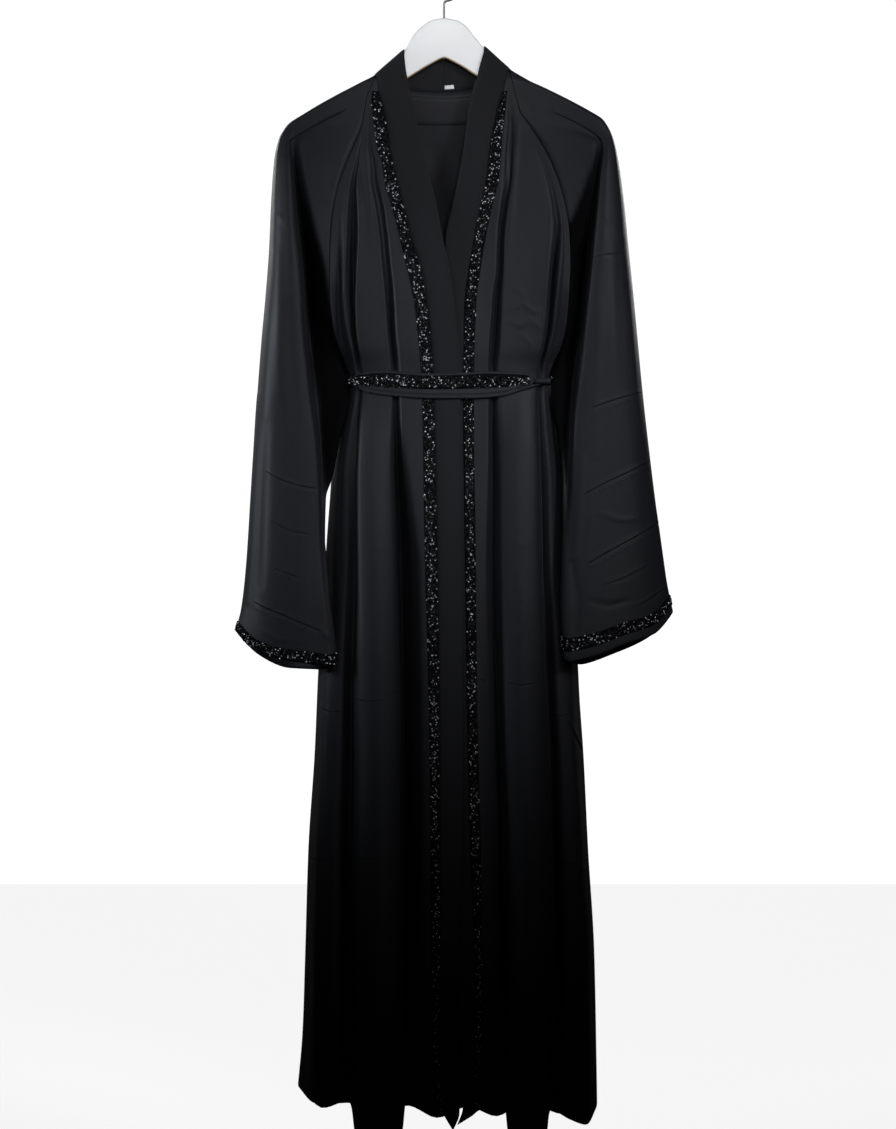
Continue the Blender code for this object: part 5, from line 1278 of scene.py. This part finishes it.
def buildWood(thick, rim):
    outline = rounded(woodOutline(), 2.4e-3)
    tangent = np.roll(outline, -1, axis=0) - np.roll(outline, 1, axis=0)
    tangent /= np.linalg.norm(tangent, axis=1, keepdims=True)
    inward = np.stack([tangent[:, 1], -tangent[:, 0]], 1)
    area = 0.5 * np.sum(outline[:, 0] * np.roll(outline[:, 1], -1) - np.roll(outline[:, 0], -1) * outline[:, 1])
    if area > 0:
        inward = -inward
    angles = np.linspace(0, np.pi / 2, 6)
    half = thick / 2
    rings = [(-half + rim * (1 - math.cos(a)), rim * (1 - math.sin(a))) for a in angles]
    rings += [(half - rim * (1 - math.cos(a)), rim * (1 - math.sin(a))) for a in angles[::-1]]
    count = len(outline)
    vertices = []
    for y, inset in rings:
        at = outline + inward * inset
        vertices += [(p[0], y, p[1]) for p in at]
    faces = []
    for r in range(len(rings) - 1):
        for k in range(count):
            n = (k + 1) % count
            faces.append((r * count + k, r * count + n, (r + 1) * count + n, (r + 1) * count + k))
    faces.append(tuple(range(count))[::-1])
    faces.append(tuple((len(rings) - 1) * count + k for k in range(count)))
    mesh = bpy.data.meshes.new("flat_hanger")
    mesh.from_pydata(vertices, [], faces)
    mesh.update()
    # beige on the rounded rim along the lower edges, where it faces down
    lowerRim = mesh.attributes.new("lowerRimBeige", "FLOAT", "POINT")
    drop = np.clip(-(-inward[:, 1]) * 1.6, 0, 1)
    values = []
    for y, inset in rings:
        out = 1 - inset / rim
        values.append(drop * np.clip(out * 1.6, 0, 1))
    lowerRim.data.foreach_set("value", np.concatenate(values).astype(np.float32))
    triangles = bpy.data.objects.new("flat_hanger", mesh)
    bpy.context.collection.objects.link(triangles)
    made = bmesh.new()
    made.from_mesh(mesh)
    bmesh.ops.recalc_face_normals(made, faces=made.faces)
    bmesh.ops.triangulate(made, faces=[f for f in made.faces if len(f.verts) > 4])
    made.to_mesh(mesh)
    made.free()
    mesh.shade_smooth()
    mesh.set_sharp_from_angle(angle=math.radians(50))
    return triangles


def buildHook(inner, wire):
    radius = inner + wire
    foot = -(crownDrop + 18.0 * grid) - 4e-3
    path = [(0, 0, foot), (0, 0, -40e-3), (0.6e-3, 0, -37.6e-3), (3.2e-3, 0, -36e-3), (7.6e-3, 0, -35.4e-3),
            (12.3e-3, 0, -33.2e-3)]
    path = [tuple(p) for p in evenPath(np.array(path), 1.5e-3)]
    for k in range(3, 60):
        angle = math.radians(-46 + k * 4.0)
        path.append((radius * math.cos(angle), 0, -inner + radius * math.sin(angle)))
    return tubeMesh("wire_hook", path, np.full(len(path), wire), 18)


class Field:

    def __init__(self, tree, socket):
        self.tree = tree
        self.socket = socket

    def math(self, kind, *others):
        node = self.tree.nodes.new("ShaderNodeMath")
        node.operation = kind
        for slot, value in enumerate((self,) + others):
            if isinstance(value, Field):
                self.tree.links.new(value.socket, node.inputs[slot])
            else:
                node.inputs[slot].default_value = value
        return Field(self.tree, node.outputs[0])

    def __add__(self, other):
        return self.math("ADD", other)

    def __sub__(self, other):
        return self.math("SUBTRACT", other)

    def __mul__(self, other):
        return self.math("MULTIPLY", other)

    def clipped(self):
        node = self.math("ADD", 0.0)
        node.socket.node.use_clamp = True
        return node

    def over(self, other):
        return self.math("DIVIDE", other)

    def power(self, other):
        return self.math("POWER", other)


class Look:

    def __init__(self, name):
        self.material = bpy.data.materials.new(name)
        self.material.use_nodes = True
        self.tree = self.material.node_tree
        self.shader = self.tree.nodes["Principled BSDF"]
        self.where = self.tree.nodes.new("ShaderNodeTexCoord").outputs["Object"]

    def noise(self, scale, detail=3.0, stretch=(1, 1, 1)):
        turn = self.tree.nodes.new("ShaderNodeMapping")
        turn.inputs["Scale"].default_value = stretch
        self.tree.links.new(self.where, turn.inputs["Vector"])
        node = self.tree.nodes.new("ShaderNodeTexNoise")
        node.inputs["Scale"].default_value = scale
        node.inputs["Detail"].default_value = detail
        self.tree.links.new(turn.outputs["Vector"], node.inputs["Vector"])
        return Field(self.tree, node.outputs["Fac"])

    def attribute(self, name):
        node = self.tree.nodes.new("ShaderNodeAttribute")
        node.attribute_name = name
        return Field(self.tree, node.outputs["Fac"])

    def set(self, **values):
        for name, value in values.items():
            self.shader.inputs[name.replace("_", " ")].default_value = value

    def tint(self, factor, low, high):
        node = self.tree.nodes.new("ShaderNodeMix")
        node.data_type = "RGBA"
        self.tree.links.new(factor.socket, node.inputs["Factor"])
        node.inputs["A"].default_value = (*low, 1.0)
        node.inputs["B"].default_value = (*high, 1.0)
        self.tree.links.new(node.outputs["Result"], self.shader.inputs["Base Color"])

    def drive(self, name, value):
        self.tree.links.new(value.socket, self.shader.inputs[name])

    def darken(self, share, colour):
        # painted shade: a dull near-black cloth mixed in by the share
        dull = self.tree.nodes.new("ShaderNodeBsdfPrincipled")
        dull.inputs["Base Color"].default_value = (*colour, 1.0)
        dull.inputs["Roughness"].default_value = 0.9
        dull.inputs["Specular IOR Level"].default_value = 0.02
        mix = self.tree.nodes.new("ShaderNodeMixShader")
        self.tree.links.new(share.socket, mix.inputs[0])
        self.tree.links.new(self.shader.outputs[0], mix.inputs[1])
        self.tree.links.new(dull.outputs[0], mix.inputs[2])
        self.tree.links.new(mix.outputs[0], self.tree.nodes["Material Output"].inputs["Surface"])

    def bump(self, value, strength, distance):
        node = self.tree.nodes.new("ShaderNodeBump")
        node.inputs["Strength"].default_value = strength
        node.inputs["Distance"].default_value = distance
        self.tree.links.new(value.socket, node.inputs["Height"])
        self.tree.links.new(node.outputs["Normal"], self.shader.inputs["Normal"])


# the line and seam entries set the width and strength of the painted shade along creases and seams
satinLook = {"dark": (0.0110, 0.0112, 0.0135), "light": (0.0185, 0.0187, 0.0220), "roughness": 0.52,
             "specular": 0.14, "sheen": 0.02, "crinkle": 0.30, "crinkleDepth": 0.8e-3, "cloudy": 0.16, "waves": 2.6,
             "creaseWidth": 1.7, "creaseRise": 2.4, "lineWidth": 0.8, "creaseShadePaint": 0.42, "seamWidth": 0.9,
             "seamShadePaint": 0.85}


def satin(look):
    made = Look("black satin")
    fine1 = made.noise(420.0, 2.0, (1.0, 1.0, 0.35))
    crinkle = made.noise(34.0, 4.0, (1.0, 1.0, 0.55))
    broad = made.noise(9.0, 2.0, (1.0, 1.0, 0.6))
    made.tint(fine1, look["dark"], look["light"])
    made.drive("Roughness", fine1 * 0.08 + broad * look["cloudy"] + (look["roughness"] - look["cloudy"] * 0.5 - 0.04))
    made.set(Specular_IOR_Level=look["specular"], Sheen_Weight=look["sheen"], Sheen_Roughness=0.4)
    away, strong = made.attribute("crease"), made.attribute("fold")
    wide = (away * away) * (1 / look["creaseWidth"] ** 2) + 1.0
    crease = (away * strong * look["creaseRise"]).over(wide * wide)
    # painted shade: a thin dull dark line along each step crease
    thin = (away * away) * (1 / look["lineWidth"] ** 2) + 1.0
    line = (strong * look["creaseShadePaint"]).over(thin * thin)
    # painted shade: a thin dull dark line along the sewn edges
    seam = ((made.attribute("sewn") - (6.0 - look["seamWidth"])) * (look["seamShadePaint"] / look["seamWidth"])).clipped()
    # painted shade: the zones, crease lines and seam lines mix in the dull near-black
    dark = (made.attribute("deep") + line + seam).clipped()
    made.darken(dark, (0.0015, 0.0015, 0.0018))
    made.bump(crinkle * 0.8 + fine1 * 0.06 + broad * look["waves"] + crease, look["crinkle"],
              look["crinkleDepth"])
    return made.material


crepeLook = {"dark": (0.0095, 0.0096, 0.0112), "light": (0.0140, 0.0140, 0.0156), "roughness": 0.82,
             "specular": 0.14, "grain": 0.45, "grainDepth": 0.25e-3}


def crepe(look):
    made = Look("matt crepe")
    grain = made.noise(950.0, 3.0, (1.0, 1.0, 0.8))
    ribs = made.noise(700.0, 1.0, (0.15, 0.15, 1.0))
    broad = made.noise(12.0, 2.0)
    made.tint((grain * 0.5 + broad * 0.5).clipped(), look["dark"], look["light"])
    made.set(Roughness=look["roughness"], Specular_IOR_Level=look["specular"], Sheen_Weight=0.15)
    made.bump(grain * 0.6 + ribs * 0.4, look["grain"], look["grainDepth"])
    return made.material


def glassBeads():
    made = Look("black faceted beads")
    # painted glints: high values give the black beads a pale grey to near-white colour, lower ones a dim grey
    paintedGlint = made.attribute("paintedGlint")
    shade = paintedGlint.power(3.0) * 0.06 + ((paintedGlint - 0.86) * 7.0).clipped() * 0.85
    made.tint(shade.clipped(), (0.002, 0.002, 0.0025), (0.98, 0.98, 1.0))
    made.set(Roughness=0.18, Specular_IOR_Level=0.26, Coat_Weight=0.15, Coat_Roughness=0.08)
    return made.material


def trimCloth():
    made = Look("trim cloth")
    grain = made.noise(800.0, 2.0)
    made.tint(grain, (0.0015, 0.0015, 0.002), (0.004, 0.004, 0.005))
    made.set(Roughness=0.8, Specular_IOR_Level=0.06)
    made.bump(grain, 0.5, 0.3e-3)
    return made.material


def paintedWood():
    made = Look("white painted wood")
    grain = made.noise(60.0, 4.0, (0.12, 1.0, 1.0))
    lowerRim = made.attribute("lowerRimBeige")
    node = made.tree.nodes.new("ShaderNodeMix")
    node.data_type = "RGBA"
    made.tint(grain, (0.90, 0.90, 0.895), (0.94, 0.94, 0.935))
    paint = made.shader.inputs["Base Color"].links[0].from_socket
    made.tree.links.new(lowerRim.socket, node.inputs["Factor"])
    made.tree.links.new(paint, node.inputs["A"])
    # beige on the downward-facing lower rim
    node.inputs["B"].default_value = (0.66, 0.50, 0.31, 1.0)
    made.tree.links.new(node.outputs["Result"], made.shader.inputs["Base Color"])
    made.drive("Roughness", grain * 0.12 + 0.34)
    made.bump(grain, 0.12, 0.2e-3)
    return made.material


def brightSteel():
    made = Look("bright steel wire")
    streak = made.noise(300.0, 3.0, (1.0, 1.0, 0.1))
    made.tint(streak, (0.11, 0.11, 0.115), (0.19, 0.19, 0.195))
    made.set(Metallic=1.0)
    made.drive("Roughness", streak * 0.15 + 0.26)
    return made.material


def wovenTab():
    made = Look("woven tab")
    weave = made.noise(1500.0, 1.0, (1.0, 1.0, 0.3))
    made.tint(weave, (0.78, 0.77, 0.74), (0.90, 0.89, 0.86))
    made.set(Roughness=0.75)
    made.bump(weave, 0.3, 0.1e-3)
    return made.material


def thread():
    made = Look("sewing thread")
    twist = made.noise(1200.0, 1.0)
    made.tint(twist, (0.010, 0.010, 0.012), (0.022, 0.022, 0.026))
    made.set(Roughness=0.55)
    return made.material


def paleFloor():
    made = Look("pale floor")
    haze = made.noise(0.8, 2.0)
    made.tint(haze, (0.80, 0.80, 0.80), (0.86, 0.86, 0.86))
    made.set(Roughness=0.9, Specular_IOR_Level=0.1, Emission_Color=(1.0, 1.0, 1.0, 1.0), Emission_Strength=0.90)
    return made.material


def stitchRow(name, group, look, points, normals, spacing):
    line = np.asarray(points)
    run = np.concatenate([[0.0], np.cumsum(np.linalg.norm(np.diff(line, axis=0), axis=1))])
    spots = np.arange(spacing / 2, run[-1], spacing)
    at = np.stack([np.interp(spots, run, line[:, k]) for k in range(3)], 1)
    ahead = np.stack([np.interp(spots + spacing * 0.3, run, line[:, k]) for k in range(3)], 1)
    way = np.stack([np.interp(spots, run, np.asarray(normals)[:, k]) for k in range(3)], 1)
    cloud = pointCloud(name + " places", at, way, np.ones(len(at)))
    runs = cloud.data.attributes.new("alongSeam", "FLOAT_VECTOR", "POINT")
    runs.data.foreach_set("vector", (ahead - at).astype(np.float32).ravel())
    modifier = cloud.modifiers.new("stitches", "NODES")
    modifier.node_group = group
    ids = {item.name: item.identifier for item in group.interface.items_tree if item.item_type == "SOCKET"}
    modifier[ids["Stitch length"]] = spacing * 0.62
    modifier[ids["Material"]] = look
    bpy.context.view_layer.update()
    made = bpy.data.meshes.new_from_object(cloud.evaluated_get(bpy.context.evaluated_depsgraph_get()))
    bpy.data.objects.remove(cloud, do_unlink=True)
    thing = bpy.data.objects.new(name, made)
    made.name = name
    bpy.context.collection.objects.link(thing)
    if not made.materials:
        made.materials.append(look)
    made.shade_smooth()
    return thing


def stitchGroup():
    group = bpy.data.node_groups.new("stitches on points", "GeometryNodeTree")
    socket = group.interface.new_socket
    socket("Points", in_out="INPUT", socket_type="NodeSocketGeometry")
    socket("Stitch length", in_out="INPUT", socket_type="NodeSocketFloat")
    socket("Material", in_out="INPUT", socket_type="NodeSocketMaterial")
    socket("Stitches", in_out="OUTPUT", socket_type="NodeSocketGeometry")
    nodes, links = group.nodes, group.links
    start = nodes.new("NodeGroupInput")
    end = nodes.new("NodeGroupOutput")
    rod = nodes.new("GeometryNodeMeshCylinder")
    rod.inputs["Vertices"].default_value = 6
    rod.inputs["Radius"].default_value = 0.16e-3
    links.new(start.outputs["Stitch length"], rod.inputs["Depth"])
    run = nodes.new("GeometryNodeInputNamedAttribute")
    run.data_type = "FLOAT_VECTOR"
    run.inputs["Name"].default_value = "alongSeam"
    align = nodes.new("FunctionNodeAlignRotationToVector")
    align.axis = "Z"
    links.new(run.outputs["Attribute"], align.inputs["Vector"])
    put = nodes.new("GeometryNodeInstanceOnPoints")
    links.new(start.outputs["Points"], put.inputs["Points"])
    links.new(rod.outputs["Mesh"], put.inputs["Instance"])
    links.new(align.outputs["Rotation"], put.inputs["Rotation"])
    real = nodes.new("GeometryNodeRealizeInstances")
    links.new(put.outputs["Instances"], real.inputs["Geometry"])
    paint = nodes.new("GeometryNodeSetMaterial")
    links.new(real.outputs["Geometry"], paint.inputs["Geometry"])
    links.new(start.outputs["Material"], paint.inputs["Material"])
    links.new(paint.outputs["Geometry"], end.inputs["Stitches"])
    return group


def dress(thing, look):
    thing.data.materials.clear()
    thing.data.materials.append(look)
    return thing


def carry(thing, slotName, *nodes):
    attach(thing, "root")
    if nodes:
        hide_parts(*nodes)
    return thing


looks = {"satin": satin(satinLook), "crepe": crepe(crepeLook), "beads": glassBeads(), "trim": trimCloth(),
         "wood": paintedWood(), "steel": brightSteel(), "tab": wovenTab(), "thread": thread(), "floor": paleFloor()}
print("looks made")
pieces = buildCloth()
for name, piece in pieces.items():
    isBand = "band" in name
    made = shell(name + "_cloth", piece, cloth["band"] if isBand else cloth["satin"])
    dress(made, looks["crepe" if isBand else "satin"])
    carry(made, "crepe" if isBand else "satin", name)
print("cloth made")

rng = np.random.default_rng(beadLook["seed"])
beads = beadGroup()
stitches = stitchGroup()
clothLift = cloth["satin"] / 2 + cloth["seam"]
baseThick = 0.8e-3
for side in ("left", "right"):
    front = pieces["front_" + side]
    rowList = panelRows(side)
    first = int(np.searchsorted(rowList, 91))
    last = len(rowList) - 1
    wide = fine["front"]
    base = stripOver(front, "trim_base_" + side, np.arange(first, last + 1), np.linspace(0.4, wide - 0.2, 7),
                     clothLift, baseThick)
    carry(dress(base, looks["trim"]), "beads", "trim_" + side)
    places, ways, sizes = trimBeads(front, (first, last - 0.5), (0.35, wide - 0.1), rng,
                                    clothLift + baseThick * 0.5)
    carry(beadStrip("trim_beads_" + side, beads, looks["beads"], places, ways, sizes), "beads")
    sleeve = pieces["sleeve_" + side]
    end = sleeve["points"].shape[0] - 1
    sleeveRows = np.concatenate([[0.0], np.array(armRows + finer([underarm] + sleeveLow[side],
                                                                 fine["rowStep"])[1:])])
    top = float(np.searchsorted(sleeveRows, sleeveLow[side][-2])) - (0 if side == "left" else 6.4)
    low = end - (0.4 if side == "left" else 5.0)
    across = np.arange(2, sleeve["points"].shape[1] - 2)
    base = stripOver(sleeve, "cuff_base_" + side, np.linspace(top, low, 7), across, clothLift, baseThick)
    carry(dress(base, looks["trim"]), "beads", "cuff_trim_" + side)
    places, ways, sizes = cuffBeads(sleeve, (top, low), rng, clothLift + baseThick * 0.5)
    carry(beadStrip("cuff_beads_" + side, beads, looks["beads"], places, ways, sizes), "beads")
print("trims made")

beltFront, beltBeads, beltBase, beltPath, ringFront = buildBelt(pieces, beads, looks, rng)
carry(beltFront, "satin", "belt_front")
carry(beltBeads, "beads", "belt_trim")
carry(dress(beltBase, looks["trim"]), "beads")
tie, tiePath = buildTie(pieces, beltPath)
carry(dress(tie, looks["satin"]), "satin", "belt_tie_back")
for loop, side in zip(buildLoops(tiePath), ("left", "right")):
    carry(dress(loop, looks["thread"]), "satin", "belt_loop_" + side)
print("belt made")

back = pieces["back_panel"]
facingRows = np.linspace(1.0, 1.0 + float(np.searchsorted(panelRows("left"), 112)), 26)
facingCols = np.linspace(9, fine["back"] - 9, 37)
i, j = np.meshgrid(facingRows, facingCols, indexing="ij")
spot, way = sample(back, i, j)
lift = cloth["satin"] / 2 + cloth["seam"]
rim = np.minimum(np.minimum(i - i.min(), i.max() - i), 2.0)[..., None] / 2.0
facingCloth = shellMesh("neck_facing_cloth", spot - way * (lift + 0.35e-3 + 0.75e-3 * rim), spot - way * lift)
carry(dress(facingCloth, looks["satin"]), "satin", "back_neck_facing")
seamLine, seamWay = sample(back, np.full(90, facingRows[-1] - 0.7), np.linspace(10, fine["back"] - 10, 90))
hemStitch = stitchRow("facing_stitches", stitches, looks["thread"], seamLine - seamWay * 2.0e-3, -seamWay,
                      2.6e-3)
carry(hemStitch, "satin")

band = pieces["neck_band_right"]
rowsHere = band["points"].shape[0]
centre = rowsHere - 3.9
across = fine["band"]
tabRows, tabCols = np.meshgrid(np.linspace(centre - 1.95, centre + 1.95, 6),
                               np.linspace(across * 0.06, across * 0.175, 4),
                               indexing="ij")
spot, way = sample(band, tabRows, tabCols)
lift = cloth["band"] / 2 + cloth["seam"]
tab = shellMesh("blank_tab", spot - way * (lift + 0.5e-3), spot - way * lift)
carry(dress(tab, looks["tab"]), "tab", "size_tab")

wood = carry(dress(buildWood(12e-3, 2.6e-3), looks["wood"]), "white_wood", "hanger_wood")
hook = carry(dress(buildHook(18e-3, 1.6e-3), looks["steel"]), "steel", "hanger_hook")
print("hanger made")

floorPlace = {"z": -1.72, "size": 14.0}
bpy.ops.mesh.primitive_plane_add(size=floorPlace["size"], location=(0, 0, 0))
floor = bpy.context.object
floor.name = "floor"
floor.data.transform(Matrix.Translation((0, 0, floorPlace["z"])))
dress(floor, looks["floor"])
floor.visible_diffuse = False
floor.visible_glossy = False

lights = {
    "far left": {"turn": -85, "rise": 5, "aim": -0.50, "cone": 34, "size": 0.25, "power": 136,
                 "tone": (0.90, 0.98, 1.08)},
    "near left": {"turn": -40, "rise": 20, "aim": -0.50, "cone": 34, "size": 0.30, "power": 30,
                  "tone": (0.90, 0.98, 1.08)},
    "right": {"turn": 40, "rise": 20, "aim": -0.50, "cone": 34, "size": 0.30, "power": 104,
              "tone": (0.97, 0.99, 1.04)},
    "waist": {"turn": 5, "rise": 10, "aim": -0.62, "cone": 22, "size": 0.30, "power": 64,
              "tone": (0.96, 1.0, 1.04)},
    "crown": {"turn": 0, "rise": 14, "aim": -0.055, "cone": 8, "size": 0.15, "power": 130, "tone": (1, 1, 1)},
    "neck": {"turn": 4, "rise": 6, "aim": -0.24, "cone": 10, "size": 0.20, "power": 24, "tone": (1, 1, 1)},
    "sheen right": {"turn": 32, "rise": 10, "aim": -0.63, "side": 0.12, "cone": 10, "size": 0.25, "power": 26,
                    "tone": (1, 1, 1)},
    "sheen left": {"turn": -62, "rise": 10, "aim": -0.62, "side": -0.22, "cone": 10, "size": 0.25, "power": 26,
                   "tone": (0.92, 0.98, 1.06)},
    "spark left": {"turn": -28, "rise": 24, "aim": -0.50, "cone": 38, "size": 0.08, "power": 8,
                   "tone": (1, 1, 1)},
    "spark right": {"turn": 22, "rise": 28, "aim": -0.50, "cone": 38, "size": 0.08, "power": 8,
                    "tone": (1, 1, 1)},
    "back left": {"turn": -140, "rise": 20, "aim": -0.60, "cone": 50, "size": 0.30, "power": 80,
                  "tone": (1, 1, 1)},
    "back right": {"turn": 150, "rise": 15, "aim": -0.60, "cone": 50, "size": 0.30, "power": 50,
                   "tone": (1, 1, 1)},
}
lampDistance = 2.4
for name, spec in lights.items():
    lamp = bpy.data.lights.new(name, "SPOT")
    lamp.spot_size = math.radians(spec["cone"])
    lamp.spot_blend = 1.0
    lamp.shadow_soft_size = spec["size"]
    lamp.energy = spec["power"]
    lamp.color = spec["tone"]
    turn, rise = math.radians(spec["turn"]), math.radians(spec["rise"])
    aim = Vector((spec.get("side", 0), 0, spec["aim"]))
    place = aim + lampDistance * Vector((math.sin(turn) * math.cos(rise), -math.cos(turn) * math.cos(rise),
                                         math.sin(rise)))
    holder = bpy.data.objects.new(name, lamp)
    bpy.context.collection.objects.link(holder)
    holder.location = place
    holder.rotation_euler = (aim - place).to_track_quat("-Z", "Y").to_euler()

world = bpy.data.worlds.new("white room")
bpy.context.scene.world = world
world.use_nodes = True
tree = world.node_tree
wall = tree.nodes["Background"]
wall.inputs["Color"].default_value = (1, 1, 1, 1)
wall.inputs["Strength"].default_value = 1.05
dim = tree.nodes.new("ShaderNodeBackground")
dim.inputs["Strength"].default_value = 0.012
choose = tree.nodes.new("ShaderNodeMixShader")
seen = tree.nodes.new("ShaderNodeLightPath")
tree.links.new(seen.outputs["Is Camera Ray"], choose.inputs[0])
tree.links.new(dim.outputs[0], choose.inputs[1])
tree.links.new(wall.outputs[0], choose.inputs[2])
tree.links.new(choose.outputs[0], tree.nodes["World Output"].inputs["Surface"])

photo = {"wide": 896, "high": 1129, "distance": 7.0}
camera = bpy.data.cameras.new("camera")
camera.sensor_fit = "VERTICAL"
camera.sensor_height = 24.0
camera.lens = 24.0 * photo["distance"] / (photo["high"] * grid)
holder = bpy.data.objects.new("camera", camera)
bpy.context.collection.objects.link(holder)
holder.location = ((photo["wide"] / 2 - hookColumn) * grid, -photo["distance"],
                   -(crownDrop + photo["high"] / 2 * grid))
holder.rotation_euler = (math.pi / 2, 0, 0)
scene = bpy.context.scene
scene.camera = holder
scene.view_settings.view_transform = "Standard"
scene.view_settings.look = "None"

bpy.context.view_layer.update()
for thing in bpy.data.objects:
    if thing.type == "MESH" and not thing.hide_render:
        print(thing.name, sum(len(p.vertices) - 2 for p in thing.data.polygons))
